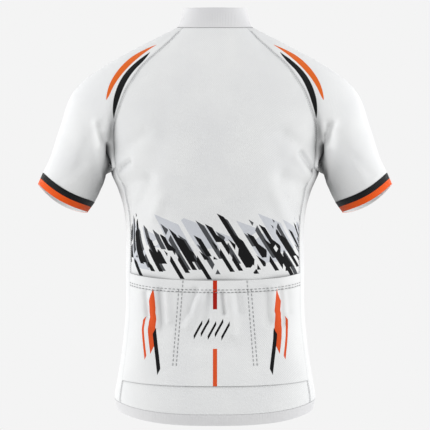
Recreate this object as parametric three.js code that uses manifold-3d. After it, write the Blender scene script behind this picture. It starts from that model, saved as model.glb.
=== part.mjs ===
// Men's cycling jersey with raglan sleeves, a stand collar, a full front zip and three rear pockets,
// filled out as it is when worn. Millimetres, +Z up, front towards -Y, the wearer's left towards +X.
// The origin is at the middle of the neck, level with the collar seam at the centre back.

import * as THREE from 'three';
import { mergeVertices } from 'three/addons/utils/BufferGeometryUtils.js';
import Module from 'manifold-3d';

const wasm = await Module();
wasm.setup();

// Walls and seams
const CLOTH = 1.2;
const COLLAR_WALL = 1.6;
const GRIPPER_WALL = 2.0;
const GRIPPER_PROUD = 0.5;
const SEAM_GAP = 0.3;
const HALF_GAP = SEAM_GAP / 2;

// Levels, measured down from the collar seam
const COLLAR_HEIGHT = 35;
const POCKET_TOP = 431;
const POCKET_BAND_FOOT = 452;
const POCKET_FOOT = 610;
const HEM_SEAM = 658;
const HEM_EDGE = 677;

// Round the body, in degrees from the centre back
const SIDE_SEAM = 66;
const NECK_CORNER_BACK = 56;
const NECK_CORNER_FRONT = 124;

// The body, level by level: half width, depth behind and in front of the middle, roundness of the
// corners (2 is an ellipse), how far the ring rises at the sides and drops at the centre front
const BODY = [
  { down: -38, half: 54.5, back: 52, front: 61, round: 2.0, rise: 2, drop: 36 },
  { down: -24, half: 57, back: 54, front: 61, round: 2.0, rise: 3, drop: 36 },
  { down: -10, half: 60.5, back: 57.5, front: 62.5, round: 2.0, rise: 4, drop: 36 },
  { down: 0, half: 66, back: 62, front: 66, round: 2.0, rise: 4, drop: 36 },
  { down: 20, half: 99, back: 73, front: 76, round: 2.0, rise: 4, drop: 34 },
  { down: 40, half: 141, back: 82, front: 86, round: 2.05, rise: 3, drop: 30 },
  { down: 60, half: 181, back: 89, front: 95, round: 2.1, rise: 2, drop: 24 },
  { down: 80, half: 206, back: 95, front: 102, round: 2.15, rise: 1, drop: 18 },
  { down: 110, half: 222, back: 101, front: 110, round: 2.2, rise: 0, drop: 10 },
  { down: 150, half: 211, back: 107, front: 115, round: 2.3, rise: 0, drop: 4 },
  { down: 195, half: 193, back: 110, front: 116, round: 2.3, rise: 0, drop: 0 },
  { down: 245, half: 180.5, back: 109, front: 113, round: 2.3, rise: 0, drop: 0 },
  { down: 275, half: 168, back: 106, front: 109, round: 2.3, rise: 1, drop: 0 },
  { down: 310, half: 158, back: 101, front: 105, round: 2.3, rise: 3, drop: 0 },
  { down: 355, half: 154, back: 94, front: 100, round: 2.3, rise: 7, drop: 0 },
  { down: 431, half: 154, back: 87, front: 97, round: 2.35, rise: 15, drop: 0 },
  { down: 500, half: 154.5, back: 87, front: 97, round: 2.35, rise: 12, drop: 0 },
  { down: 563, half: 161, back: 93, front: 99, round: 2.35, rise: 9, drop: -5 },
  { down: 610, half: 168.5, back: 99, front: 101, round: 2.3, rise: 9, drop: -15 },
  { down: 640, half: 172.5, back: 101, front: 102, round: 2.3, rise: 17, drop: -34 },
  { down: 658, half: 173, back: 101, front: 101, round: 2.3, rise: 22, drop: -42 },
  { down: 677, half: 168.5, back: 98, front: 98, round: 2.3, rise: 23, drop: -45 },
];

// The raglan seam of one side, from the collar behind, under the arm, to the collar in front
const RAGLAN_BACK = [
  { down: 0, across: 55 },
  { down: 39, across: 95 },
  { down: 78, across: 133 },
  { down: 119, across: 157 },
  { down: 154, across: 169 },
  { down: 185, across: 174 },
  { down: 215, across: 173 },
];
const UNDERARM = [
  { down: 239, angle: 66 },
  { down: 246, angle: 90 },
  { down: 238, angle: 112 },
];
const RAGLAN_FRONT = [
  { down: 208, across: 165 },
  { down: 175, across: 158 },
  { down: 140, across: 150 },
  { down: 104, across: 134 },
  { down: 68, across: 108 },
  { down: 32, across: 80 },
  { down: 0, across: 54.7 },
];

// Rings of one sleeve, from its underside to its outer edge, with its depth behind and in front of
// its own middle, how far the front of the ring lies along the arm past the back, and how far both
// hang past its ends
const SLEEVE = [
  { lowX: 189, lowZ: -251, highX: 182, highZ: -57, back: 74, front: 76, middle: -1, round: 2.15, lag: 0, hang: 0 },
  { lowX: 193, lowZ: -265, highX: 243, highZ: -105, back: 64, front: 66, middle: -3, round: 2.1, lag: 1, hang: 2 },
  { lowX: 198, lowZ: -276, highX: 268, highZ: -168, back: 57, front: 59, middle: -5, round: 2.05, lag: 3, hang: 4 },
  { lowX: 203, lowZ: -287, highX: 284, highZ: -217, back: 53, front: 55, middle: -7, round: 2, lag: 5, hang: 6 },
  { lowX: 209, lowZ: -298, highX: 298, highZ: -247, back: 51, front: 52, middle: -9, round: 2, lag: 8, hang: 9 },
];
// Below TURN_START the sleeve leaves the seam more and more sharply, instead of on with the body, and
// within NECK_REACH of the collar its lines run straight for its first ring, so that none cross
const TURN_START = 170;
const TURN_DEPTH = 60;
const NECK_REACH = 40;
const SHARPEST_TURN = -0.2;
const CUFF_DEPTH = 21;
const CUFF_STEPS = 2;
const CUFF_TAPER = 0.955;
const ARM_DOWN = new THREE.Vector3(0.499, 0, -0.867);

// The largest folds, each a soft trough or ridge between two points seen from the front or back.
// face is 1 behind and -1 in front, a ridge has a negative depth, and both sides have the same ones
const FOLDS = [
  { x1: 201, z1: -163, x2: 194, z2: -202, face: 1, depth: -3.5, width: 8 },
  { x1: 187, z1: -186, x2: 184, z2: -246, face: 1, depth: 3, width: 7 },
  { x1: 150, z1: -206, x2: 120, z2: -184, face: 1, depth: 3, width: 13 },
  { x1: 152, z1: -272, x2: 116, z2: -258, face: 1, depth: 4, width: 14 },
  { x1: 202, z1: -158, x2: 195, z2: -198, face: -1, depth: -3, width: 8 },
  { x1: 190, z1: -184, x2: 188, z2: -234, face: -1, depth: 3, width: 7 },
  { x1: 140, z1: -196, x2: 112, z2: -170, face: -1, depth: 4, width: 13 },
  { x1: 146, z1: -274, x2: 104, z2: -262, face: -1, depth: 3, width: 15 },
  { x1: 150, z1: -392, x2: 92, z2: -412, face: -1, depth: 3, width: 16 },
];

// A fold fades in over this much depth from the middle of the body
const FOLD_FACING = 25;

// Pockets: how far the cloth stands off the back, at most, and the columns where it is sewn down
const POCKET_PUFF = 3.2;
const MOUTH_SHARE = 0.8;
const DIVIDER_COLUMN = 10;

// Grid steps
const BACK_RAGLAN_STEPS = 12;
const BACK_NECK_STEPS = 4;
const FRONT_RAGLAN_STEPS = 13;
const FRONT_NECK_STEPS = 4;
const SLEEVE_NECK_STEPS = 5;
const LOWER_ROWS = [HEM_SEAM, 634, POCKET_FOOT, 578, 546, 514, 483, POCKET_BAND_FOOT, POCKET_TOP];
const UPPER_ROWS = 12;
const LEAN = 3;
const SPREAD = 0.1;
const SPREAD_REACH = 0.6;
const UNDERARM_LEVEL = 232;
const SLEEVE_ROWS = [0, 0.3, 0.65, 1, 1.35, 1.7, 2, 2.4, 2.8, 3.2, 3.6, 4, 4.5, 5];
const HEM_ROWS = [HEM_EDGE, HEM_SEAM];
const COLLAR_ROWS = [0, -8, -17, -27, -COLLAR_HEIGHT];
const COLLAR_FOOT = -2;

// Zip: half the space between the fronts, the tape behind them and the coil that fills the space
const ZIP_HALF_SPACE = 5;
const TAPE_HALF = 11;
const TAPE_FACE = -2.4;
const TAPE_WALL = 1;
const COIL_HALF = 2.8;
const COIL_SHOULDER = 0.1;
const COIL_TOP_HALF = 1.6;
const COIL_TOP = 0.7;

// Slider and pull tab
const SLIDER_DOWN = -27;
const SLIDER_LENGTH = 12;
const SLIDER_HALF = 4.6;
const SLIDER_BEVEL = 0.8;
const SLIDER_INNER_HALF = 3.15;
const SLIDER_FOOT = -1;
const SLIDER_FLOOR = 1.2;
const SLIDER_TOP = 2.7;
const BRIDGE_HALF_WIDTH = 1;
const BRIDGE_HALF_LENGTH = 4.2;
const BRIDGE_WALL = 1.2;
const TUNNEL_HEIGHT = 2.6;
const TAB_HALF = 3.2;
const TAB_WALL = 1.2;
const TAB_LENGTH = 20;
const TAB_BAR_HALF = 0.7;
const TAB_WINDOW_HALF = 1.7;
const TAB_WINDOW_LENGTH = 4.8;
const TAB_CORNER = 2;
const HINGE_OUT = SLIDER_TOP + TUNNEL_HEIGHT / 2;

const FINE = 0.01;
const DEGREE = Math.PI / 180;

const clamp = (value, low, high) => Math.min(Math.max(value, low), high);
const ease = (t) => t * t * (3 - 2 * t);
const mix = (a, b, t) => a + (b - a) * t;

// Slope of one column of a table at a row, from the rows beside it
function slopeAt(table, key, name, index) {
  const before = table[Math.max(index - 1, 0)];
  const after = table[Math.min(index + 1, table.length - 1)];
  return (after[name] - before[name]) / (after[key] - before[key]);
}

// One column of a table, read smoothly between its rows
function readColumn(table, key, name, at) {
  let index = 0;
  while (index < table.length - 2 && at > table[index + 1][key]) {
    index += 1;
  }
  const low = table[index];
  const high = table[index + 1];
  const span = high[key] - low[key];
  const t = clamp((at - low[key]) / span, 0, 1);
  const rest = 1 - t;
  const start = slopeAt(table, key, name, index) * span;
  const end = slopeAt(table, key, name, index + 1) * span;
  return low[name] * rest * rest * (1 + 2 * t) + high[name] * t * t * (3 - 2 * t)
    + start * t * rest * rest - end * t * t * rest;
}

function bodyRing(down) {
  const ring = {};
  for (const name of ['half', 'back', 'front', 'round', 'rise', 'drop']) {
    ring[name] = readColumn(BODY, 'down', name, down);
  }
  return ring;
}

// The smooth body at a level and an angle from the centre back, positive on the wearer's left
function smoothBody(down, angle) {
  const ring = bodyRing(down);
  const sine = Math.sin(angle);
  const cosine = Math.cos(angle);
  const size = (Math.abs(sine) ** ring.round + Math.abs(cosine) ** ring.round) ** (-1 / ring.round);
  const depth = cosine > 0 ? ring.back : ring.front;
  const lift = ring.rise * Math.abs(sine) ** 3 - ring.drop * Math.max(0, -cosine) ** 2;
  return new THREE.Vector3(ring.half * size * sine, depth * size * cosine, lift - down);
}

// The angle at which the body has a given half width, behind or in front
function angleAcross(down, across, inFront) {
  const ring = bodyRing(down);
  const share = Math.min(across / ring.half, 1);
  const angle = Math.atan2(share, (1 - share ** ring.round) ** (1 / ring.round));
  return inFront ? Math.PI - angle : angle;
}

function normalOf(surface, down, angle) {
  const round = surface(down, angle + FINE).sub(surface(down, angle - FINE));
  const along = surface(down + 1, angle).sub(surface(down - 1, angle));
  return round.cross(along).normalize();
}

// How deep the folds are at a point, from its distance to each fold's line
function foldDepth(point) {
  const across = Math.abs(point.x);
  let total = 0;
  for (const fold of FOLDS) {
    const lengthX = fold.x2 - fold.x1;
    const lengthZ = fold.z2 - fold.z1;
    const along = (across - fold.x1) * lengthX + (point.z - fold.z1) * lengthZ;
    const t = clamp(along / (lengthX ** 2 + lengthZ ** 2), 0, 1);
    const away = Math.hypot(across - fold.x1 - lengthX * t, point.z - fold.z1 - lengthZ * t);
    const facing = ease(clamp((point.y * fold.face) / FOLD_FACING, 0, 1));
    total += fold.depth * facing * Math.exp(-((away / fold.width) ** 2));
  }
  return total;
}

// The body with its folds
function body(down, angle) {
  const point = smoothBody(down, angle);
  const inward = foldDepth(point);
  return inward < FINE ? point : point.addScaledVector(normalOf(smoothBody, down, angle), -inward);
}

// The raglan seam as a table along its own length
function raglanSeam() {
  const rows = [
    ...RAGLAN_BACK.map((row) => ({ down: row.down, angle: angleAcross(row.down, row.across, false) })),
    ...UNDERARM.map((row) => ({ down: row.down, angle: row.angle * DEGREE })),
    ...RAGLAN_FRONT.map((row) => ({ down: row.down, angle: angleAcross(row.down, row.across, true) })),
  ];
  let along = 0;
  return rows.map((row, index) => {
    if (index > 0) {
      const before = rows[index - 1];
      along += smoothBody(row.down, row.angle).distanceTo(smoothBody(before.down, before.angle));
    }
    return { ...row, along };
  });
}

const SEAM = raglanSeam();
const SEAM_CORNER = SEAM[RAGLAN_BACK.length].along;
const SEAM_END = SEAM[SEAM.length - 1].along;

function seamAt(along) {
  return {
    down: readColumn(SEAM, 'along', 'down', along),
    angle: readColumn(SEAM, 'along', 'angle', along),
  };
}

// Steps along the raglan seam, both ends included, from one length along it to another
function seamSteps(from, to, steps) {
  return Array.from({ length: steps + 1 }, (_, step) => seamAt(mix(from, to, step / steps)));
}

// Steps round the collar seam from one angle to another
function neckSteps(from, to, steps) {
  return Array.from({ length: steps + 1 }, (_, step) => ({ down: 0, angle: mix(from, to, step / steps) }));
}

const BACK_EDGE = seamSteps(SEAM_CORNER, 0, BACK_RAGLAN_STEPS);
const FRONT_EDGE = seamSteps(SEAM_CORNER, SEAM_END, FRONT_RAGLAN_STEPS);
const SLEEVE_NECK = neckSteps(NECK_CORNER_BACK * DEGREE, NECK_CORNER_FRONT * DEGREE, SLEEVE_NECK_STEPS);

// The sleeve's top edge as a closed loop: up the back, over the neck, down the front, under the arm
const SLEEVE_EDGE = [
  ...BACK_EDGE.slice(0, -1),
  ...SLEEVE_NECK.slice(0, -1),
  ...FRONT_EDGE.slice(1).reverse(),
];

function sleeveCentre(ring) {
  return new THREE.Vector3((ring.lowX + ring.highX) / 2, ring.middle, (ring.lowZ + ring.highZ) / 2);
}

// A point of one sleeve ring, turned from the underside over the back to the outer edge and round
function sleeveRingPoint(ring, turn) {
  const halfAcross = new THREE.Vector3(ring.highX - ring.lowX, 0, ring.highZ - ring.lowZ).divideScalar(2);
  const sine = Math.sin(turn);
  const cosine = Math.cos(turn);
  const size = (Math.abs(sine) ** ring.round + Math.abs(cosine) ** ring.round) ** (-1 / ring.round);
  const depth = sine > 0 ? ring.back : ring.front;
  const point = sleeveCentre(ring).addScaledVector(halfAcross, -cosine * size);
  point.y += depth * size * sine;
  return point.addScaledVector(ARM_DOWN, ring.hang * sine ** 2 - (ring.lag / 2) * sine);
}

// How far round its rings each line of the sleeve runs, by its share of the top edge
function sleeveTurns() {
  const points = SLEEVE_EDGE.map((step) => smoothBody(step.down, step.angle));
  const count = points.length;
  const along = [0];
  for (let index = 1; index <= count; index += 1) {
    along.push(along[index - 1] + points[index % count].distanceTo(points[index - 1]));
  }
  const total = along[count];
  const topStep = BACK_RAGLAN_STEPS + SLEEVE_NECK_STEPS / 2;
  const top = mix(along[Math.floor(topStep)], along[Math.ceil(topStep)], topStep % 1);
  const low = total - (SEAM[RAGLAN_BACK.length + 1].along - SEAM_CORNER);
  return along.slice(0, count).map((length) => {
    if (length <= top) {
      return Math.PI * spreadLow((length + total - low) / (top + total - low));
    }
    return Math.PI * (2 - spreadLow((low - length) / (low - top)));
  });
}

// Spreads the lines near the underarm, so that they leave the seam squarely
function spreadLow(share) {
  return share < SPREAD_REACH ? share + SPREAD * Math.sin((Math.PI * share) / SPREAD_REACH) ** 2 : share;
}

const SLEEVE_TURNS = sleeveTurns();

// The direction in which the sleeve leaves the seam: on with the body's surface, and outwards and
// down under the arm, where the cloth turns over sharply
function sleeveFrames() {
  const count = SLEEVE_EDGE.length;
  const points = SLEEVE_EDGE.map((step) => body(step.down, step.angle));
  return SLEEVE_EDGE.map((step, index) => {
    const before = points[(index + count - 1) % count];
    const after = points[(index + 1) % count];
    const seam = after.clone().sub(before).normalize();
    const bodyNormal = normalOf(body, step.down, step.angle);
    const onward = bodyNormal.clone().cross(seam).normalize();
    const reach = sleeveRingPoint(SLEEVE[0], SLEEVE_TURNS[index]).sub(points[index]);
    const length = reach.length();
    const underArm = ease(clamp((-TURN_START - points[index].z) / TURN_DEPTH, 0, 1));
    const atNeck = ease(clamp(1 + points[index].z / NECK_REACH, 0, 1));
    const flow = Math.max(underArm, atNeck);
    const leave = onward.multiplyScalar(1 - flow).addScaledVector(reach.normalize(), flow).normalize();
    const sleeveNormal = seam.clone().cross(leave).normalize();
    if (sleeveNormal.dot(bodyNormal) < SHARPEST_TURN) {
      sleeveNormal.copy(bodyNormal);
    }
    const normal = sleeveNormal.add(bodyNormal).normalize();
    const outward = normal.clone().cross(seam).normalize();
    return { point: points[index], normal, outward, leave: leave.multiplyScalar(length) };
  });
}

const SLEEVE_FRAMES = sleeveFrames();

// One line of the sleeve from the seam, through its rings, to the cuff
function sleeveLine(index, at) {
  const frame = SLEEVE_FRAMES[index];
  const stops = [frame.point, ...SLEEVE.map((ring) => sleeveRingPoint(ring, SLEEVE_TURNS[index]))];
  const low = clamp(Math.floor(at), 0, stops.length - 2);
  const t = at - low;
  const rest = 1 - t;
  const speed = (stop) => {
    if (stop === 0) {
      return frame.leave.clone();
    }
    const after = stops[Math.min(stop + 1, stops.length - 1)];
    return after.clone().sub(stops[stop - 1]).multiplyScalar(stop === stops.length - 1 ? 1 : 0.5);
  };
  return stops[low].clone().multiplyScalar(rest * rest * (1 + 2 * t))
    .addScaledVector(stops[low + 1], t * t * (3 - 2 * t))
    .addScaledVector(speed(low), t * rest * rest)
    .addScaledVector(speed(low + 1), -t * t * rest);
}

// Unit normals of a grid of points that is closed round its columns
function tubeNormals(grid) {
  return grid.map((row, r) => row.map((point, c) => {
    const count = row.length;
    const round = row[(c + 1) % count].clone().sub(row[(c + count - 1) % count]);
    const along = grid[Math.min(r + 1, grid.length - 1)][c].clone().sub(grid[Math.max(r - 1, 0)][c]);
    return round.cross(along).normalize();
  }));
}

// A cloth wall from its outer points: the inner points lie one wall thickness inside them
function wall(name, grid, closed, thickness, material) {
  const rows = grid.length;
  const columns = grid[0].length;
  const positions = [];
  for (const side of [0, 1]) {
    for (const row of grid) {
      for (const spot of row) {
        const place = spot.point.clone().addScaledVector(spot.normal, -thickness * side);
        positions.push(place.x, place.y, place.z);
      }
    }
  }
  const id = (side, r, c) => side * rows * columns + r * columns + (c % columns);
  const faces = [];
  const quad = (a, b, c, d) => faces.push(a, b, c, a, c, d);
  const lastColumn = closed ? columns : columns - 1;
  for (let r = 0; r < rows - 1; r += 1) {
    for (let c = 0; c < lastColumn; c += 1) {
      const next = (c + 1) % columns;
      const falling = grid[r][c].point.distanceTo(grid[r + 1][next].point);
      const rising = grid[r][next].point.distanceTo(grid[r + 1][c].point);
      if (falling < rising) {
        quad(id(0, r, c), id(0, r, c + 1), id(0, r + 1, c + 1), id(0, r + 1, c));
        quad(id(1, r, c), id(1, r + 1, c), id(1, r + 1, c + 1), id(1, r, c + 1));
      } else {
        quad(id(0, r + 1, c), id(0, r, c), id(0, r, c + 1), id(0, r + 1, c + 1));
        quad(id(1, r + 1, c), id(1, r + 1, c + 1), id(1, r, c + 1), id(1, r, c));
      }
    }
  }
  for (let c = 0; c < lastColumn; c += 1) {
    quad(id(0, 0, c), id(1, 0, c), id(1, 0, c + 1), id(0, 0, c + 1));
    quad(id(0, rows - 1, c), id(0, rows - 1, c + 1), id(1, rows - 1, c + 1), id(1, rows - 1, c));
  }
  if (!closed) {
    for (let r = 0; r < rows - 1; r += 1) {
      quad(id(0, r, 0), id(0, r + 1, 0), id(1, r + 1, 0), id(1, r, 0));
      const end = columns - 1;
      quad(id(0, r, end), id(1, r, end), id(1, r + 1, end), id(0, r + 1, end));
    }
  }
  return solidMesh(name, positions, faces, material);
}

// Six times the volume that the faces close, to tell which way they point
function signedVolume(positions, faces) {
  const corner = (index) => new THREE.Vector3().fromArray(positions, index * 3);
  let total = 0;
  for (let face = 0; face < faces.length; face += 3) {
    total += corner(faces[face]).dot(corner(faces[face + 1]).cross(corner(faces[face + 2])));
  }
  return total;
}

function solidMesh(name, positions, faces, material) {
  if (signedVolume(positions, faces) < 0) {
    for (let face = 0; face < faces.length; face += 3) {
      [faces[face + 1], faces[face + 2]] = [faces[face + 2], faces[face + 1]];
    }
  }
  const geometry = new THREE.BufferGeometry();
  geometry.setAttribute('position', new THREE.Float32BufferAttribute(positions, 3));
  geometry.setIndex(faces);
  geometry.computeVertexNormals();
  const mesh = new THREE.Mesh(geometry, material);
  mesh.name = name;
  return mesh;
}

// Moves a spot towards its neighbour by half a seam's gap
function shorten(spot, neighbour) {
  const step = neighbour.point.clone().sub(spot.point).setLength(HALF_GAP);
  return { ...spot, point: spot.point.clone().add(step) };
}

function shortenRow(grid, row, next) {
  return grid.map((line, r) => (r === row ? line.map((spot, c) => shorten(spot, grid[next][c])) : line));
}

const shortenFoot = (grid) => shortenRow(grid, 0, 1);
const shortenTop = (grid) => shortenRow(grid, grid.length - 1, grid.length - 2);

function shortenColumn(grid, column, next) {
  return grid.map((line) => line.map((spot, c) => (c === column ? shorten(spot, line[next]) : spot)));
}

function mirrorGrid(grid) {
  const flip = new THREE.Vector3(-1, 1, 1);
  return grid.map((row) => row.map((spot) => ({
    point: spot.point.clone().multiply(flip),
    normal: spot.normal.clone().multiply(flip),
  })));
}

// The side of each panel, level by level: the raglan seam, and the side seam below the arm
const BACK_SIDE = SEAM.slice(0, RAGLAN_BACK.length + 1);
const FRONT_SIDE = [
  ...SEAM.slice(RAGLAN_BACK.length + 2).reverse(),
  { down: POCKET_TOP, angle: SIDE_SEAM * DEGREE },
];

function edgeAngle(bounds, down) {
  return readColumn(bounds, 'down', 'angle', down);
}

// Half of a body panel, from its side seam to the middle of the front or back. Each column starts at
// the hem seam and ends at a step of the panel's top edge, and the rows follow the pockets' edges
function bodyPanel(edge, middleAngle, bounds) {
  const last = edge.length - 1;
  const spotAt = (down, angle) => ({ point: body(down, angle), normal: normalOf(body, down, angle) });
  const footAngle = (column, down) => mix(SIDE_SEAM * DEGREE, middleAngle(down), column / last);
  const lower = LOWER_ROWS.map((down) => edge.map((_, column) => spotAt(down, footAngle(column, down))));
  const upper = Array.from({ length: UPPER_ROWS }, (_, row) => edge.map((top, column) => {
    const share = (row + 1) / UPPER_ROWS;
    const down = mix(POCKET_TOP, top.down, share);
    const foot = footAngle(column, down);
    if (column === last || column === 0) {
      return spotAt(down, foot);
    }
    if (top.down > UNDERARM_LEVEL) {
      return spotAt(down, mix(foot, top.angle, ease(share)));
    }
    const middle = middleAngle(down);
    const reachFoot = (foot - middle) / (SIDE_SEAM * DEGREE - middle);
    const reachTop = (top.angle - middle) / (edgeAngle(bounds, top.down) - middle);
    const reach = mix(reachFoot, reachTop, share ** LEAN);
    return spotAt(down, middle + reach * (edgeAngle(bounds, down) - middle));
  }));
  return [...lower, ...upper];
}

// The panel's top row lies half a gap short of the raglan seam and takes the seam's own normals
function fitRaglan(grid, frames) {
  const top = grid.length - 1;
  return grid.map((row, r) => row.map((spot, column) => {
    if (r !== top || column >= frames.length) {
      return spot;
    }
    const frame = frames[column];
    return { point: frame.point.clone().addScaledVector(frame.outward, -HALF_GAP), normal: frame.normal };
  }));
}

const zipAngle = (down) => Math.PI - Math.asin(ZIP_HALF_SPACE / bodyRing(down).half);
const backMiddle = () => 0;

const BACK_TOP = [...BACK_EDGE, ...neckSteps(NECK_CORNER_BACK * DEGREE, 0, BACK_NECK_STEPS).slice(1)];
const FRONT_TOP = [
  ...FRONT_EDGE,
  ...neckSteps(NECK_CORNER_FRONT * DEGREE, zipAngle(0), FRONT_NECK_STEPS).slice(1),
];

// Seam frames in the order of each panel's columns
const backFrames = BACK_EDGE.map((_, step) => SLEEVE_FRAMES[step]);
const frontFrames = FRONT_EDGE.map((_, step) => {
  const count = SLEEVE_EDGE.length;
  return SLEEVE_FRAMES[(count - step) % count];
});

function backHalf() {
  const grid = shortenFoot(shortenTop(bodyPanel(BACK_TOP, backMiddle, BACK_SIDE)));
  return fitRaglan(shortenColumn(grid, 0, 1), backFrames);
}

function frontHalf() {
  const grid = shortenFoot(shortenTop(bodyPanel(FRONT_TOP, zipAngle, FRONT_SIDE)));
  return fitRaglan(shortenColumn(grid, 0, 1), frontFrames);
}

// Both halves of a grid joined at the centre back, where they share their last column
function joinHalves(half) {
  const other = mirrorGrid(half);
  return half.map((row, r) => [...row, ...other[r].slice(0, -1).reverse()]);
}

function moveOut(grid, distance) {
  return grid.map((row, r) => row.map((spot, c) => ({
    ...spot,
    point: spot.point.clone().addScaledVector(spot.normal, distance(r, c)),
  })));
}

// How far the pocket cloth stands off: nothing along its seams and dividers, most in the middle
function pocketPuff(row, column, columns) {
  const middle = (columns - 1) / 2;
  const fromSide = middle - Math.abs(column - middle);
  const inSide = fromSide <= DIVIDER_COLUMN;
  const share = inSide
    ? fromSide / DIVIDER_COLUMN
    : (fromSide - DIVIDER_COLUMN) / (2 * (middle - DIVIDER_COLUMN));
  const down = LOWER_ROWS[row];
  const height = clamp((POCKET_FOOT - down) / (POCKET_FOOT - POCKET_TOP), 0, 1);
  return POCKET_PUFF * Math.sin(Math.PI * share) ** 2 * Math.sin(Math.PI * MOUTH_SHARE * height);
}

function pocketGrid(fromDown, toDown) {
  const grid = joinHalves(shortenColumn(bodyPanel(BACK_TOP, backMiddle, BACK_SIDE), 0, 1));
  const first = LOWER_ROWS.indexOf(fromDown);
  const last = LOWER_ROWS.indexOf(toDown);
  const columns = grid[0].length;
  const lifted = moveOut(grid, (row, column) => SEAM_GAP + CLOTH + pocketPuff(row, column, columns));
  return lifted.slice(first, last + 1);
}

// Angles round the collar from one side of the zip to the other, at the steps of the pieces below it
function collarAngles(down) {
  const left = [
    ...neckSteps(0, NECK_CORNER_BACK * DEGREE, BACK_NECK_STEPS),
    ...SLEEVE_NECK.slice(1),
    ...neckSteps(NECK_CORNER_FRONT * DEGREE, zipAngle(down), FRONT_NECK_STEPS).slice(1),
  ].map((step) => step.angle);
  return [...left.slice(1).reverse().map((angle) => -angle), ...left];
}

// The hem band takes the columns of the panels above it
function hemGrid() {
  const row = (down) => {
    const spots = (edge, middle) => edge.map((_, column) => {
      const angle = mix(SIDE_SEAM * DEGREE, middle(down), column / (edge.length - 1));
      return { point: body(down, angle), normal: normalOf(body, down, angle) };
    });
    const left = [...spots(FRONT_TOP, zipAngle).reverse(), ...spots(BACK_TOP, backMiddle).slice(1)];
    const right = mirrorGrid([left])[0].reverse().slice(1);
    return [...left, ...right];
  };
  const grid = HEM_ROWS.map(row);
  return moveOut(shortenTop(grid), () => GRIPPER_PROUD);
}

function collarGrid() {
  const grid = COLLAR_ROWS.map((down) => collarAngles(down).map((angle) => ({
    point: body(down, angle),
    normal: normalOf(body, Math.min(down, COLLAR_FOOT), angle),
  })));
  return grid.map((row, r) => row.map((spot) => {
    const point = spot.point.clone();
    point.z += r === 0 ? SEAM_GAP : 0;
    return { ...spot, point };
  }));
}

// The sleeve and its cuff band as one tube, so that both share the cuff seam
function sleeveTube() {
  const smooth = SLEEVE_ROWS.map((at) => SLEEVE_EDGE.map((_, index) => sleeveLine(index, at)));
  const cuffRing = SLEEVE[SLEEVE.length - 1];
  const centre = sleeveCentre(cuffRing);
  const last = smooth[smooth.length - 1];
  const shares = Array.from({ length: CUFF_STEPS }, (_, step) => (step + 1) / CUFF_STEPS);
  const cuff = shares.map((share) => last.map((point) => {
    const arm = point.clone().sub(centre);
    const along = arm.dot(ARM_DOWN);
    arm.addScaledVector(ARM_DOWN, -along).multiplyScalar(mix(1, CUFF_TAPER, share));
    return centre.clone().add(arm).addScaledVector(ARM_DOWN, along + CUFF_DEPTH * share);
  }));
  const tube = [...smooth, ...cuff];
  const normals = tubeNormals(tube);
  return tube.map((row, r) => row.map((point, c) => {
    const frame = SLEEVE_FRAMES[c];
    if (r === 0) {
      return { point: frame.point.clone().addScaledVector(frame.outward, HALF_GAP), normal: frame.normal };
    }
    const normal = normals[r][c];
    return { point: point.addScaledVector(normal, -foldDepth(point)), normal };
  }));
}

const SLEEVE_TUBE = sleeveTube();
const CUFF_ROW = SLEEVE_ROWS.length - 1;

function sleeveGrid() {
  const cloth = SLEEVE_TUBE.slice(0, CUFF_ROW + 1);
  return shortenTop(cloth);
}

function cuffGrid() {
  const band = SLEEVE_TUBE.slice(CUFF_ROW);
  return moveOut(shortenFoot(band), () => GRIPPER_PROUD);
}

// The zip tape and coil: one closed section carried along the centre front from hem to collar
function zipSolid(material) {
  const section = [
    { across: -TAPE_HALF, out: TAPE_FACE - TAPE_WALL },
    { across: 0, out: TAPE_FACE - TAPE_WALL },
    { across: TAPE_HALF, out: TAPE_FACE - TAPE_WALL },
    { across: TAPE_HALF, out: TAPE_FACE },
    { across: COIL_HALF, out: TAPE_FACE },
    { across: COIL_HALF, out: COIL_SHOULDER },
    { across: COIL_TOP_HALF, out: COIL_TOP },
    { across: -COIL_TOP_HALF, out: COIL_TOP },
    { across: -COIL_HALF, out: COIL_SHOULDER },
    { across: -COIL_HALF, out: TAPE_FACE },
    { across: -TAPE_HALF, out: TAPE_FACE },
  ];
  const upper = Array.from({ length: UPPER_ROWS }, (_, row) => mix(POCKET_TOP, 0, (row + 1) / UPPER_ROWS));
  const levels = [HEM_EDGE, ...LOWER_ROWS, ...upper, ...COLLAR_ROWS.slice(1)];
  const positions = [];
  for (const down of levels) {
    const half = bodyRing(down).half;
    for (const spot of section) {
      const angle = Math.PI - Math.asin(spot.across / half);
      const place = smoothBody(down, angle).addScaledVector(normalOf(smoothBody, down, angle), spot.out);
      positions.push(place.x, place.y, place.z);
    }
  }
  const count = section.length;
  const faces = [];
  for (let r = 0; r < levels.length - 1; r += 1) {
    for (let c = 0; c < count; c += 1) {
      const next = (c + 1) % count;
      faces.push(r * count + c, r * count + next, (r + 1) * count + next);
      faces.push(r * count + c, (r + 1) * count + next, (r + 1) * count + c);
    }
  }
  const outline = section.map((spot) => new THREE.Vector2(spot.across, spot.out));
  const caps = THREE.ShapeUtils.triangulateShape(outline, []);
  const end = (levels.length - 1) * count;
  for (const [a, b, c] of caps) {
    faces.push(a, c, b);
    faces.push(end + a, end + b, end + c);
  }
  return solidMesh('front_zip', positions, faces, material);
}

function outlineShape(points) {
  return new THREE.Shape(points.map(([x, y]) => new THREE.Vector2(x, y)));
}

function toManifold(geometry) {
  const bare = geometry.clone();
  bare.deleteAttribute('normal');
  bare.deleteAttribute('uv');
  const merged = mergeVertices(bare);
  return new wasm.Manifold(new wasm.Mesh({
    numProp: 3,
    vertProperties: merged.attributes.position.array,
    triVerts: new Uint32Array(merged.index.array),
  }));
}

function fromManifold(name, solid, material) {
  const data = solid.getMesh();
  return solidMesh(name, Array.from(data.vertProperties), Array.from(data.triVerts), material);
}

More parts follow.
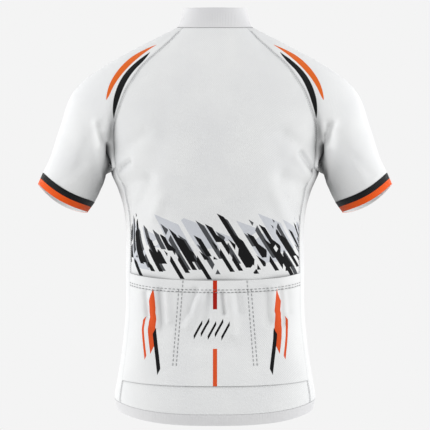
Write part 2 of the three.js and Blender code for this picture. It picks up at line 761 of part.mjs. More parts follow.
// Slider body: a shell over the coil, extruded along the zip, with a bridge that holds the tab.
// In its own frame -Y faces out of the garment and +Z runs up the zip
function sliderSolid(material) {
  const shell = new THREE.ExtrudeGeometry(outlineShape([
    [-SLIDER_HALF, SLIDER_FOOT],
    [-SLIDER_INNER_HALF, SLIDER_FOOT],
    [-SLIDER_INNER_HALF, SLIDER_FLOOR],
    [SLIDER_INNER_HALF, SLIDER_FLOOR],
    [SLIDER_INNER_HALF, SLIDER_FOOT],
    [SLIDER_HALF, SLIDER_FOOT],
    [SLIDER_HALF, SLIDER_TOP - SLIDER_BEVEL],
    [SLIDER_HALF - SLIDER_BEVEL, SLIDER_TOP],
    [-SLIDER_HALF + SLIDER_BEVEL, SLIDER_TOP],
    [-SLIDER_HALF, SLIDER_TOP - SLIDER_BEVEL],
  ]), { depth: SLIDER_LENGTH, bevelEnabled: false });
  shell.translate(0, 0, -SLIDER_LENGTH / 2);
  shell.applyMatrix4(new THREE.Matrix4().makeScale(1, -1, 1));
  shell.index = null;
  const inside = BRIDGE_HALF_LENGTH - BRIDGE_WALL;
  const tunnelTop = SLIDER_TOP + TUNNEL_HEIGHT;
  const sunk = SLIDER_TOP - BRIDGE_WALL / 2;
  const bridge = new THREE.ExtrudeGeometry(outlineShape([
    [-BRIDGE_HALF_LENGTH, sunk],
    [-inside, sunk],
    [-inside, tunnelTop],
    [inside, tunnelTop],
    [inside, sunk],
    [BRIDGE_HALF_LENGTH, sunk],
    [BRIDGE_HALF_LENGTH, tunnelTop],
    [inside, tunnelTop + BRIDGE_WALL],
    [-inside, tunnelTop + BRIDGE_WALL],
    [-BRIDGE_HALF_LENGTH, tunnelTop],
  ]), { depth: 2 * BRIDGE_HALF_WIDTH, bevelEnabled: false });
  bridge.translate(0, 0, -BRIDGE_HALF_WIDTH);
  bridge.applyMatrix4(new THREE.Matrix4().set(0, 0, 1, 0, 0, -1, 0, 0, 1, 0, 0, 0, 0, 0, 0, 1));
  const joined = toManifold(flipped(shell)).add(toManifold(bridge));
  return fromManifold('zip_slider', joined, material);
}

// The same faces turned over, for a shape that was mirrored
function flipped(geometry) {
  const array = geometry.attributes.position.array;
  const positions = [];
  for (let face = 0; face < array.length; face += 9) {
    for (const corner of [0, 6, 3]) {
      positions.push(array[face + corner], array[face + corner + 1], array[face + corner + 2]);
    }
  }
  const turned = new THREE.BufferGeometry();
  turned.setAttribute('position', new THREE.Float32BufferAttribute(positions, 3));
  return turned;
}

// Pull tab: a plate with a window at its top, hanging from the bar above the window
function tabSolid(material) {
  const foot = -TAB_LENGTH;
  const shape = new THREE.Shape();
  shape.moveTo(-TAB_HALF, TAB_BAR_HALF);
  shape.lineTo(-TAB_HALF, foot + TAB_CORNER);
  shape.quadraticCurveTo(-TAB_HALF, foot, -TAB_HALF + TAB_CORNER, foot);
  shape.lineTo(TAB_HALF - TAB_CORNER, foot);
  shape.quadraticCurveTo(TAB_HALF, foot, TAB_HALF, foot + TAB_CORNER);
  shape.lineTo(TAB_HALF, TAB_BAR_HALF);
  shape.closePath();
  const window = new THREE.Path();
  window.moveTo(-TAB_WINDOW_HALF, -TAB_BAR_HALF);
  window.lineTo(TAB_WINDOW_HALF, -TAB_BAR_HALF);
  window.lineTo(TAB_WINDOW_HALF, -TAB_BAR_HALF - TAB_WINDOW_LENGTH);
  window.lineTo(-TAB_WINDOW_HALF, -TAB_BAR_HALF - TAB_WINDOW_LENGTH);
  window.closePath();
  shape.holes.push(window);
  const plate = new THREE.ExtrudeGeometry(shape, { depth: TAB_WALL, bevelEnabled: false, curveSegments: 3 });
  plate.translate(0, 0, -TAB_WALL / 2);
  plate.rotateX(Math.PI / 2);
  plate.translate(0, -HINGE_OUT, 0);
  const merged = toManifold(plate);
  return fromManifold('zip_pull', merged, material);
}

const WHITE = 0xeceae8;
const ORANGE = 0xe8702a;
const METAL = 0x8d8f92;
const knit = (color) => new THREE.MeshStandardMaterial({ color, roughness: 0.78, metalness: 0 });
const tapeCloth = new THREE.MeshStandardMaterial({ color: 0xdedcda, roughness: 0.7, metalness: 0 });
const metal = () => new THREE.MeshStandardMaterial({ color: METAL, roughness: 0.35, metalness: 0.9 });

const jersey = new THREE.Group();
const frontGrid = frontHalf();
const sleeve = sleeveGrid();
const cuff = cuffGrid();
const pocket = shortenTop(pocketGrid(POCKET_FOOT, POCKET_BAND_FOOT));
const mouthBand = shortenFoot(pocketGrid(POCKET_BAND_FOOT, POCKET_TOP));
jersey.add(wall('back_panel', joinHalves(backHalf()), false, CLOTH, knit(WHITE)));
jersey.add(wall('front_left', frontGrid, false, CLOTH, knit(WHITE)));
jersey.add(wall('front_right', mirrorGrid(frontGrid), false, CLOTH, knit(WHITE)));
jersey.add(wall('sleeve_left', sleeve, true, CLOTH, knit(WHITE)));
jersey.add(wall('sleeve_right', mirrorGrid(sleeve), true, CLOTH, knit(WHITE)));
jersey.add(wall('cuff_band_left', cuff, true, GRIPPER_WALL, knit(ORANGE)));
jersey.add(wall('cuff_band_right', mirrorGrid(cuff), true, GRIPPER_WALL, knit(ORANGE)));
jersey.add(wall('collar', collarGrid(), false, COLLAR_WALL, knit(WHITE)));
jersey.add(wall('pocket_panel', pocket, false, CLOTH, knit(WHITE)));
jersey.add(wall('pocket_band', mouthBand, false, CLOTH, knit(WHITE)));
jersey.add(wall('hem_band', hemGrid(), false, GRIPPER_WALL, knit(WHITE)));
jersey.add(zipSolid(tapeCloth));

const zipTop = new THREE.Group();
const zipNormal = normalOf(smoothBody, SLIDER_DOWN, Math.PI);
zipTop.position.copy(smoothBody(SLIDER_DOWN, Math.PI));
zipTop.rotation.x = Math.atan2(-zipNormal.z, -zipNormal.y);
zipTop.add(sliderSolid(metal()));
zipTop.add(tabSolid(metal()));
jersey.add(zipTop);

export default jersey;
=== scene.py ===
import math

import bmesh
import bpy
import numpy as np
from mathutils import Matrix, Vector


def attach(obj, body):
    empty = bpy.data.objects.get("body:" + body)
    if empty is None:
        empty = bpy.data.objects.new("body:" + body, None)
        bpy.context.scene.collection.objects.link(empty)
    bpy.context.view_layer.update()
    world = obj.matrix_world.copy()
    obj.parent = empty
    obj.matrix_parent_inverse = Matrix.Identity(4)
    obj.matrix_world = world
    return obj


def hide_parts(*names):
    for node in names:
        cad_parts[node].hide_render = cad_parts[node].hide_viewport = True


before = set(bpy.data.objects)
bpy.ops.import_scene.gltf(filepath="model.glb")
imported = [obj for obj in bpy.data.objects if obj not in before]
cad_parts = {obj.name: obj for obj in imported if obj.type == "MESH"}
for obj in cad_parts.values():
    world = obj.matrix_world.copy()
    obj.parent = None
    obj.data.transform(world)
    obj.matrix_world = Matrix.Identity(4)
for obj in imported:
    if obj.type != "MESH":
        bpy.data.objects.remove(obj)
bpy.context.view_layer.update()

bl_info = {
    "name": "Raglan cycling jersey",
    "version": (1, 0, 0),
    "blender": (4, 5, 0),
    "location": "View3D > Sidebar > Jersey",
    "description": "Knit panels, printed trim, pockets, zip and stitching of a short-sleeved cycling jersey",
    "category": "Object",
}

MM = 0.001
DEGREE = math.pi / 180
FINE = 0.01

# Grid steps between two steps of the rigid model
STEPS = 6

# Form of the jersey in millimetres, the same as that of the rigid model: front towards -Y, the
# wearer's left towards +X, levels measured down from the collar seam

SEAM_GAP = 0.3
HALF_GAP = SEAM_GAP / 2
COLLAR_HEIGHT = 35
POCKET_TOP = 431
POCKET_BAND_FOOT = 452
POCKET_FOOT = 610
HEM_SEAM = 658
HEM_EDGE = 677
SIDE_SEAM = 66 * DEGREE
NECK_CORNER_BACK = 56 * DEGREE
NECK_CORNER_FRONT = 124 * DEGREE


def rows_of(names, *rows):
    """A short table as one array for each named column."""
    return dict(zip(names.split(), np.array(rows, float).T))


BODY = rows_of(
    "down half back front round rise drop",
    (-38, 54.5, 52, 61, 2.0, 2, 36),
    (-24, 57, 54, 61, 2.0, 3, 36),
    (-10, 60.5, 57.5, 62.5, 2.0, 4, 36),
    (0, 66, 62, 66, 2.0, 4, 36),
    (20, 99, 73, 76, 2.0, 4, 34),
    (40, 141, 82, 86, 2.05, 3, 30),
    (60, 181, 89, 95, 2.1, 2, 24),
    (80, 206, 95, 102, 2.15, 1, 18),
    (110, 222, 101, 110, 2.2, 0, 10),
    (150, 211, 107, 115, 2.3, 0, 4),
    (195, 193, 110, 116, 2.3, 0, 0),
    (245, 180.5, 109, 113, 2.3, 0, 0),
    (275, 168, 106, 109, 2.3, 1, 0),
    (310, 158, 101, 105, 2.3, 3, 0),
    (355, 154, 94, 100, 2.3, 7, 0),
    (431, 154, 87, 97, 2.35, 15, 0),
    (500, 154.5, 87, 97, 2.35, 12, 0),
    (563, 161, 93, 99, 2.35, 9, -5),
    (610, 168.5, 99, 101, 2.3, 9, -15),
    (640, 172.5, 101, 102, 2.3, 17, -34),
    (658, 173, 101, 101, 2.3, 22, -42),
    (677, 168.5, 98, 98, 2.3, 23, -45),
)

# The raglan seam of one side, from the collar behind, under the arm, to the collar in front
RAGLAN_BACK = rows_of(
    "down across",
    (0, 55), (39, 95), (78, 133), (119, 157), (154, 169), (185, 174), (215, 173),
)
UNDERARM = rows_of("down angle", (239, 66), (246, 90), (238, 112))
RAGLAN_FRONT = rows_of(
    "down across",
    (208, 165), (175, 158), (140, 150), (104, 134), (68, 108), (32, 80), (0, 54.7),
)

# Rings of one sleeve, from its underside to its outer edge, with its depth behind and in front of
# its own middle, how far the front of the ring lies along the arm past the back, and how far both
# hang past its ends
SLEEVE = rows_of(
    "low_x low_z high_x high_z back front middle round lag hang",
    (189, -251, 182, -57, 74, 76, -1, 2.15, 0, 0),
    (193, -265, 243, -105, 64, 66, -3, 2.1, 1, 2),
    (198, -276, 268, -168, 57, 59, -5, 2.05, 3, 4),
    (203, -287, 284, -217, 53, 55, -7, 2, 5, 6),
    (209, -298, 298, -247, 51, 52, -9, 2, 8, 9),
)
TURN_START = 170
TURN_DEPTH = 60
NECK_REACH = 40
SHARPEST_TURN = -0.2
CUFF_DEPTH = 21
CUFF_STEPS = 2
CUFF_TAPER = 0.955
ARM_DOWN = np.array([0.499, 0, -0.867])

# Each fold is a soft trough between two points seen from behind (face 1) or from the front
# (face -1), and a ridge has a negative depth
FOLD_COLUMNS = "x1 z1 x2 z2 face depth width"

# The largest folds, on both sides alike, as in the rigid model
FOLDS = rows_of(
    FOLD_COLUMNS,
    (201, -163, 194, -202, 1, -3.5, 8),
    (187, -186, 184, -246, 1, 3, 7),
    (150, -206, 120, -184, 1, 3, 13),
    (152, -272, 116, -258, 1, 4, 14),
    (202, -158, 195, -198, -1, -3, 8),
    (190, -184, 188, -234, -1, 3, 7),
    (140, -196, 112, -170, -1, 4, 13),
    (146, -274, 104, -262, -1, 3, 15),
    (150, -392, 92, -412, -1, 3, 16),
)
FOLD_FACING = 25

# Finer creases, each on one side only: behind on the wearer's left, behind on the right, then in front
CREASES = rows_of(
    FOLD_COLUMNS,
    (163, -240, 146, -229, 1, 3.2, 4),
    (160, -250, 138, -238, 1, -1.0, 7),
    (104, -320, 90, -292, 1, -3.2, 11),
    (86, -186, 104, -222, 1, 2.6, 22),
    (110, -262, 128, -300, 1, 2.2, 10),
    (-147, -214, -168, -243, 1, 4.2, 4.5),
    (-138, -222, -160, -252, 1, -1.6, 7),
    (-104, -190, -114, -240, 1, 2.4, 20),
    (-100, -284, -124, -330, 1, -2.6, 12),
    (160, -236, 130, -214, -1, 3.2, 6),
    (156, -250, 118, -238, -1, -2.0, 8),
    (-158, -232, -124, -206, -1, 3.8, 6),
    (-150, -246, -112, -232, -1, -1.8, 8),
    (44, -120, 62, -190, -1, 2.0, 13),
    (-40, -110, -66, -184, -1, 2.2, 14),
    (120, -330, 86, -352, -1, 2.2, 10),
    (-124, -318, -80, -338, -1, 2.4, 11),
    (14, -470, 64, -500, -1, 2.0, 12),
    (-14, -440, -58, -474, -1, 2.2, 12),
    (20, -560, 96, -590, -1, 1.8, 14),
    (-18, -540, -88, -566, -1, 1.6, 13),
)

# Finer creases of the sleeves, which fade out towards the raglan seam
SLEEVE_CREASES = rows_of(
    FOLD_COLUMNS,
    (203, -164, 194, -199, 1, -1.6, 3.6),
    (198, -172, 187, -203, 1, 2.2, 5),
    (228, -232, 262, -262, 1, 1.4, 9),
    (-203, -162, -190, -206, 1, -2.2, 3.6),
    (-194, -168, -185, -206, 1, 3.0, 5),
    (-184, -240, -189, -252, 1, 4.0, 4),
    (-240, -222, -266, -248, 1, 1.6, 9),
    (216, -180, 204, -228, -1, 2.0, 8),
    (-214, -176, -206, -232, -1, 1.8, 9),
)

# Where the sleeve closes on itself in the armpit: a narrow slit between two points
TUCKS = rows_of(
    FOLD_COLUMNS,
    (181.5, -204, 182, -250, 1, 13.0, 5.0),
    (-181, -204, -182, -246, 1, 14.0, 5.0),
    (187, -200, 185, -248, -1, 10.0, 5.0),
    (-186, -202, -185, -246, -1, 10.0, 5.0),
)

# The share by which a slit's lips are drawn together, and the strip beside the raglan seam that
# the sleeve's finer folds leave plain
TUCK_CLOSING = 0.6
SEAM_REST = 7

# Creases of the pocket cloth: those that hang from the elastic of its mouths, then two lower down
POCKET_CREASES = rows_of(
    FOLD_COLUMNS,
    (118, -452, 114, -492, 1, 3.1, 5.2),
    (106, -448, 101, -506, 1, -3.4, 7.8),
    (92, -450, 89, -512, 1, 3.6, 5.9),
    (82, -452, 79, -500, 1, -2.5, 6.5),
    (46, -454, 42, -486, 1, 2.5, 5.2),
    (33, -450, 56, -492, 1, 4.8, 6.5),
    (22, -452, 46, -506, 1, -3.6, 7.8),
    (12, -455, 14, -500, 1, 2.8, 6.5),
    (-13, -455, -16, -486, 1, 3.9, 5.2),
    (-24, -455, -31, -520, 1, -3.1, 9.1),
    (-38, -454, -42, -482, 1, 2.5, 6.5),
    (-66, -452, -68, -494, 1, 2.5, 6.5),
    (-84, -450, -90, -502, 1, 4.2, 6.5),
    (-98, -450, -101, -492, 1, -3.1, 7.8),
    (-112, -448, -116, -506, 1, 3.4, 6.5),
    (-124, -444, -127, -486, 1, 2.2, 6.5),
    (34, -538, -30, -546, 1, 1.8, 16),
    (96, -530, 84, -580, 1, 1.6, 12),
)

POCKET_PUFF = 5.0
MOUTH_SHARE = 0.8
DIVIDER_COLUMN = 10
POCKET_COLUMNS = 16
POCKET_ROWS = 16
BAND_ROWS = 3

BACK_RAGLAN_STEPS = 12
BACK_NECK_STEPS = 4
FRONT_RAGLAN_STEPS = 13
FRONT_NECK_STEPS = 4
SLEEVE_NECK_STEPS = 5
LOWER_ROWS = (HEM_SEAM, 634, POCKET_FOOT, 578, 546, 514, 483, POCKET_BAND_FOOT, POCKET_TOP)
UPPER_ROWS = 12
LEAN = 3
SPREAD = 0.1
SPREAD_REACH = 0.6
UNDERARM_LEVEL = 232
UNDERARM_BLEND = 12
SLEEVE_ROWS = (0, 0.3, 0.65, 1, 1.35, 1.7, 2, 2.4, 2.8, 3.2, 3.6, 4, 4.5, 5)
COLLAR_ROWS = (0, -8, -17, -27, -COLLAR_HEIGHT)
COLLAR_FOOT = -2

ZIP_HALF_SPACE = 5
TAPE_HALF = 11
TAPE_ROWS = 40
TAPE_HALF_COLUMNS = 2
TAPE_FACE = -2.4
TEETH_OUT = -0.4

# Camera: straight behind the jersey, level with its middle
CAMERA_DISTANCE = 4.5
CAMERA_LEVEL = -0.32
PICTURE_WIDTH = 0.744
SENSOR = 36.0


def ease(t):
    return t * t * (3 - 2 * t)


def mix(a, b, t):
    return a + (b - a) * t


def unit(vectors):
    return vectors / np.linalg.norm(vectors, axis=-1, keepdims=True)


def smooth_step(start, end, leave, arrive, t):
    """A smooth way between two values that leaves and arrives at given speeds."""
    rest = 1 - t
    return (
        start * rest**2 * (1 + 2 * t)
        + end * t**2 * (3 - 2 * t)
        + leave * t * rest**2
        - arrive * t**2 * rest
    )


def read(table, key, name, at):
    """One column of a table, read smoothly between its rows."""
    keys = table[key]
    values = table[name]
    rows = np.arange(len(keys))
    before = np.maximum(rows - 1, 0)
    after = np.minimum(rows + 1, len(keys) - 1)
    slopes = (values[after] - values[before]) / (keys[after] - keys[before])
    low = np.clip(np.searchsorted(keys, at) - 1, 0, len(keys) - 2)
    span = keys[low + 1] - keys[low]
    t = np.clip((at - keys[low]) / span, 0, 1)
    return smooth_step(values[low], values[low + 1], slopes[low] * span, slopes[low + 1] * span, t)


def body_ring(down):
    return {name: read(BODY, "down", name, down) for name in BODY if name != "down"}


def corner_size(sine, cosine, power):
    """How far a ring with rounded corners lies from its middle, in one direction."""
    return (np.abs(sine) ** power + np.abs(cosine) ** power) ** (-1 / power)


def smooth_body(down, angle):
    """The smooth body at a level and an angle from the centre back, positive on the wearer's left."""
    down, angle = np.broadcast_arrays(np.asarray(down, float), np.asarray(angle, float))
    ring = body_ring(down)
    sine = np.sin(angle)
    cosine = np.cos(angle)
    size = corner_size(sine, cosine, ring["round"])
    depth = np.where(cosine > 0, ring["back"], ring["front"])
    lift = ring["rise"] * np.abs(sine) ** 3 - ring["drop"] * np.maximum(0, -cosine) ** 2
    return np.stack([ring["half"] * size * sine, depth * size * cosine, lift - down], -1)


def angle_across(down, across, in_front=False):
    """The angle at which the body has a given half width, behind or in front."""
    ring = body_ring(np.asarray(down, float))
    share = np.minimum(across / ring["half"], 1)
    angle = np.arctan2(share, (1 - share ** ring["round"]) ** (1 / ring["round"]))
    return math.pi - angle if in_front else angle


def normal_of(surface, down, angle):
    turn = surface(down, angle + FINE) - surface(down, angle - FINE)
    along = surface(down + 1.0, angle) - surface(down - 1.0, angle)
    return unit(np.cross(turn, along))


def sunk(point, normal, inward):
    return point - normal * inward[..., None]


def fold_depth(points, folds, both_sides=False):
    """How deep the folds are at each point, from its distance to each fold's line."""
    across = np.abs(points[..., 0]) if both_sides else points[..., 0]
    total = np.zeros(points.shape[:-1])
    for row in range(len(folds["x1"])):
        x1, z1, x2, z2, face, depth, width = (folds[name][row] for name in folds)
        along = (across - x1) * (x2 - x1) + (points[..., 2] - z1) * (z2 - z1)
        t = np.clip(along / ((x2 - x1) ** 2 + (z2 - z1) ** 2), 0, 1)
        away = np.hypot(across - mix(x1, x2, t), points[..., 2] - mix(z1, z2, t))
        facing = ease(np.clip(points[..., 1] * face / FOLD_FACING, 0, 1))
        total += depth * facing * np.exp(-((away / width) ** 2))
    return total


def tucked(grid, tucks, share):
    """Sinks narrow slits into the cloth and draws their lips together, by a share at each point."""
    point = grid["point"]
    for row in range(len(tucks["x1"])):
        tuck = {name: values[[row]] for name, values in tucks.items()}
        deep = fold_depth(point, tuck) * share
        # The hollow guide places the painted shadow in the slit
        grid = {**grid, "hollow": np.maximum(grid["hollow"], deep / tuck["depth"])}
        t = np.clip((point[..., 2] - tuck["z1"]) / (tuck["z2"] - tuck["z1"]), 0, 1)
        aside = point[..., 0] - mix(tuck["x1"], tuck["x2"], t)
        strength = fold_depth(point, {**tuck, "width": tuck["width"] * 2, "depth": np.ones(1)})
        closing = aside * TUCK_CLOSING * strength * share
        point = sunk(point, grid["normal"], deep)
        point[..., 0] -= closing
    return {**grid, "point": point}


def body(down, angle):
    """The body with its largest folds."""
    point = smooth_body(down, angle)
    return sunk(point, normal_of(smooth_body, down, angle), fold_depth(point, FOLDS, True))


def raglan_seam():
    """The raglan seam as a table along its own length."""
    down = np.concatenate([RAGLAN_BACK["down"], UNDERARM["down"], RAGLAN_FRONT["down"]])
    angle = np.concatenate([
        angle_across(RAGLAN_BACK["down"], RAGLAN_BACK["across"]),
        UNDERARM["angle"] * DEGREE,
        angle_across(RAGLAN_FRONT["down"], RAGLAN_FRONT["across"], True),
    ])
    steps = np.linalg.norm(np.diff(smooth_body(down, angle), axis=0), axis=1)
    return {"down": down, "angle": angle, "along": np.concatenate([[0], np.cumsum(steps)])}


SEAM = raglan_seam()
CORNER_ROW = len(RAGLAN_BACK["down"])
SEAM_CORNER = SEAM["along"][CORNER_ROW]
SEAM_END = SEAM["along"][-1]


def seam_steps(start, end, steps):
    along = np.linspace(start, end, steps * STEPS + 1)
    return {name: read(SEAM, "along", name, along) for name in ("down", "angle")}


def neck_steps(start, end, steps):
    angle = np.linspace(start, end, steps * STEPS + 1)
    return {"down": np.zeros_like(angle), "angle": angle}


def part_of(edge, part):
    return {name: values[part] for name, values in edge.items()}


def joined(*edges):
    return {name: np.concatenate([edge[name] for edge in edges]) for name in ("down", "angle")}


def zip_angle(down):
    return math.pi - np.arcsin(ZIP_HALF_SPACE / body_ring(down)["half"])


def back_middle(down):
    return np.zeros_like(down)


BACK_EDGE = seam_steps(SEAM_CORNER, 0, BACK_RAGLAN_STEPS)
FRONT_EDGE = seam_steps(SEAM_CORNER, SEAM_END, FRONT_RAGLAN_STEPS)
SLEEVE_NECK = neck_steps(NECK_CORNER_BACK, NECK_CORNER_FRONT, SLEEVE_NECK_STEPS)
ALL_BUT_LAST = slice(None, -1)
ALL_BUT_FIRST = slice(1, None)
BACKWARDS_TO_SECOND = slice(None, 0, -1)

# The sleeve's top edge as a closed loop: up the back, over the neck, down the front, under the arm
SLEEVE_EDGE = joined(
    part_of(BACK_EDGE, ALL_BUT_LAST),
    part_of(SLEEVE_NECK, ALL_BUT_LAST),
    part_of(FRONT_EDGE, BACKWARDS_TO_SECOND),
)
BACK_TOP = joined(BACK_EDGE, part_of(neck_steps(NECK_CORNER_BACK, 0, BACK_NECK_STEPS), ALL_BUT_FIRST))
FRONT_TOP = joined(
    FRONT_EDGE,
    part_of(neck_steps(NECK_CORNER_FRONT, float(zip_angle(np.float64(0))), FRONT_NECK_STEPS), ALL_BUT_FIRST),
)

# The side of each panel, level by level: the raglan seam, and the side seam below the arm
BACK_SIDE = part_of(SEAM, slice(0, CORNER_ROW + 1))
FRONT_SIDE = joined(
    part_of(SEAM, slice(None, CORNER_ROW + 1, -1)),
    {"down": [POCKET_TOP], "angle": [SIDE_SEAM]},
)


def spread_low(share):
    """Spreads the lines near the underarm, so that they leave the seam squarely."""
    spread = share + SPREAD * np.sin(math.pi * share / SPREAD_REACH) ** 2
    return np.where(share < SPREAD_REACH, spread, share)


def sleeve_turns():
    """How far round its rings each line of the sleeve runs, by its share of the top edge."""
    points = smooth_body(**SLEEVE_EDGE)
    steps = np.linalg.norm(np.roll(points, -1, 0) - points, axis=1)
    along = np.concatenate([[0], np.cumsum(steps)])
    total = along[-1]
    top = np.interp((BACK_RAGLAN_STEPS + SLEEVE_NECK_STEPS / 2) * STEPS, np.arange(len(along)), along)
    low = total - (SEAM["along"][CORNER_ROW + 1] - SEAM_CORNER)
    along = along[:-1]
    over = math.pi * spread_low((along + total - low) / (top + total - low))
    under = math.pi * (2 - spread_low((low - along) / (low - top)))
    return np.where(along <= top, over, under)


def ring_ends(row):
    """The underside and the outer edge of one sleeve ring."""
    return (
        np.array([SLEEVE[f"{end}_x"][row], SLEEVE["middle"][row], SLEEVE[f"{end}_z"][row]])
        for end in ("low", "high")
    )


def sleeve_ring(row, turn):
    """Points of one sleeve ring, turned from the underside over the back to the outer edge and round."""
    ring = {name: values[row] for name, values in SLEEVE.items()}
    low, high = ring_ends(row)
    sine = np.sin(turn)
    cosine = np.cos(turn)
    size = corner_size(sine, cosine, ring["round"])
    depth = np.where(sine > 0, ring["back"], ring["front"])
    point = (low + high) / 2 - (high - low) / 2 * (cosine * size)[:, None]
    point[:, 1] += depth * size * sine
    return point + ARM_DOWN * (ring["hang"] * sine**2 - ring["lag"] / 2 * sine)[:, None]


SLEEVE_TURNS = sleeve_turns()


def sleeve_frames():
    """Point, normal and directions of the sleeve's top edge, where the cloth leaves the seam."""
    point = body(**SLEEVE_EDGE)
    seam = unit(np.roll(point, -STEPS, 0) - np.roll(point, STEPS, 0))
    body_normal = normal_of(body, **SLEEVE_EDGE)
    onward = unit(np.cross(body_normal, seam))
    reach = sleeve_ring(0, SLEEVE_TURNS) - point
    length = np.linalg.norm(reach, axis=1, keepdims=True)
    under_arm = ease(np.clip((-TURN_START - point[:, 2]) / TURN_DEPTH, 0, 1))
    at_neck = ease(np.clip(1 + point[:, 2] / NECK_REACH, 0, 1))
    flow = np.maximum(under_arm, at_neck)[:, None]
    leave = unit(onward * (1 - flow) + unit(reach) * flow)
    sleeve_normal = unit(np.cross(seam, leave))
    turned = (sleeve_normal * body_normal).sum(1) < SHARPEST_TURN
    sleeve_normal[turned] = body_normal[turned]
    normal = unit(sleeve_normal + body_normal)
    outward = unit(np.cross(normal, seam))
    return {"point": point, "normal": normal, "outward": outward, "leave": leave * length}


SEAM_FRAMES = sleeve_frames()


def finer(rows, steps):
    """The rows with further ones between them."""
    places = np.arange((len(rows) - 1) * steps + 1) / steps
    return np.interp(places, np.arange(len(rows)), rows)


def sleeve_lines(rows):
    """The sleeve from its seam, through its rings, to the cuff, at each of the rows."""
    rings = range(len(SLEEVE["back"]))
    stops = np.stack([SEAM_FRAMES["point"], *(sleeve_ring(row, SLEEVE_TURNS) for row in rings)])
    speeds = np.empty_like(stops)
    speeds[0] = SEAM_FRAMES["leave"]
    speeds[1:-1] = (stops[2:] - stops[:-2]) / 2
    speeds[-1] = stops[-1] - stops[-2]
    low = np.clip(np.floor(rows).astype(int), 0, len(stops) - 2)
    t = (rows - low)[:, None, None]
    return smooth_step(stops[low], stops[low + 1], speeds[low], speeds[low + 1], t)


def tube_normals(grid):
    turn = np.roll(grid, -1, 1) - np.roll(grid, 1, 1)
    along = np.concatenate([grid[1:2] - grid[0:1], grid[2:] - grid[:-2], grid[-1:] - grid[-2:-1]])
    return unit(np.cross(turn, along))


def lengths(points, axis):
    """Length along each line of a grid, from its first point."""
    steps = np.linalg.norm(np.diff(points, axis=axis), axis=-1)
    start = np.zeros_like(np.take(steps, [0], axis=axis))
    return np.concatenate([start, np.cumsum(steps, axis=axis)], axis=axis)


def pull_back(points, edge, neighbour):
    """Moves one edge of a grid in by half a seam's gap."""
    points[edge] += unit(points[neighbour] - points[edge]) * HALF_GAP


FOOT, ABOVE_FOOT = (0, 1)
TOP, BELOW_TOP = (-1, -2)
ALL = slice(None)


def panel_levels(edge, middle_angle, bounds):
    """Levels and angles of half a body panel, from its side seam to the middle. Each column starts at
    the hem seam and ends at a step of the panel's top edge, and the rows follow the pockets' edges."""
    columns = len(edge["down"])
    share_across = np.linspace(0, 1, columns)

    def foot_angle(down):
        return mix(SIDE_SEAM, middle_angle(down), share_across)

    lower = finer(LOWER_ROWS, STEPS)[:, None] * np.ones(columns)
    share = (np.arange(UPPER_ROWS * STEPS) + 1)[:, None] / (UPPER_ROWS * STEPS)
    down = mix(POCKET_TOP, edge["down"], share)
    foot = foot_angle(down)
    middle = middle_angle(down)
    reach_foot = (foot - middle) / (SIDE_SEAM - middle)
    side_at_top = read(bounds, "down", "angle", edge["down"])
    reach_top = (edge["angle"] - middle) / (side_at_top - middle)
    reach = mix(reach_foot, reach_top, share**LEAN)
    leaning = middle + reach * (read(bounds, "down", "angle", down) - middle)
    straight = mix(foot, edge["angle"], ease(share))
    under = ease(np.clip((edge["down"] - UNDERARM_LEVEL) / UNDERARM_BLEND + 0.5, 0, 1))
    angle = mix(leaning, straight, under)
    angle[:, [0, -1]] = foot[:, [0, -1]]
    return np.concatenate([lower, down]), np.concatenate([foot_angle(lower), angle])


def half_panel(edge, middle_angle, bounds, frame_order):
    """Half of a body panel: points, normals and levels, fitted to the raglan seam at its top."""
    down, angle = panel_levels(edge, middle_angle, bounds)
    point = body(down, angle)
    normal = normal_of(body, down, angle)
    pull_back(point, (FOOT, ALL), (ABOVE_FOOT, ALL))
    pull_back(point, (TOP, ALL), (BELOW_TOP, ALL))
    pull_back(point, (ALL, 0), (ALL, 1))
    count = len(frame_order)
    point[-1, :count] = (SEAM_FRAMES["point"] - SEAM_FRAMES["outward"] * HALF_GAP)[frame_order]
    normal[-1, :count] = SEAM_FRAMES["normal"][frame_order]
    return {"point": point, "normal": normal, "level": down}


BACK_FRAMES = np.arange(len(BACK_EDGE["down"]))
FRONT_FRAMES = -np.arange(len(FRONT_EDGE["down"])) % len(SLEEVE_EDGE["down"])
FLIP = np.array([-1.0, 1, 1])


def mirrored(grid):
    turned = dict(grid)
    turned["point"] = grid["point"] * FLIP
    turned["normal"] = grid["normal"] * FLIP
    return turned


def whole(half):
    """Both halves of a grid joined at the centre back, where they share their last column."""
    other = mirrored(half)
    return {name: np.concatenate([half[name], other[name][:, -2::-1]], 1) for name in half}


def creased(grid, creases, share=1):
    inward = fold_depth(grid["point"], creases) * share
    return {**grid, "point": sunk(grid["point"], grid["normal"], inward)}


def distance_to(points, line):
    """Distance of each grid point to the nearest of a line of points."""
    nearest = np.full(points.shape[:-1], np.inf)
    for spot in line.reshape(-1, 3):
        nearest = np.minimum(nearest, ((points - spot) ** 2).sum(-1))
    return np.sqrt(nearest)


def seamed(grid, lines, dip, reach):
    """Draws the cloth in along its seams, as the thread does, and keeps the distance to them."""
    away = np.min([distance_to(grid["point"], line) for line in lines], axis=0)
    inward = dip * np.exp(-((away / reach) ** 2))
    return {**grid, "point": sunk(grid["point"], grid["normal"], inward), "seam": away}


def measured(grid, middle_column=0):
    """Adds the cloth's own coordinates: length across from one column, and length up each column."""
    across = lengths(grid["point"], 1)
    return {**grid, "u": across - across[:, [middle_column]], "v": lengths(grid["point"], 0)}


def wrapped(values):
    return np.concatenate([values, values[:, :1]], 1)


def measured_tube(grid):
    """The same on a tube: length from its top edge, and length round it."""
    loop = wrapped(grid["point"])
    return {**grid, "u": lengths(loop, 0), "v": lengths(loop, 1)}


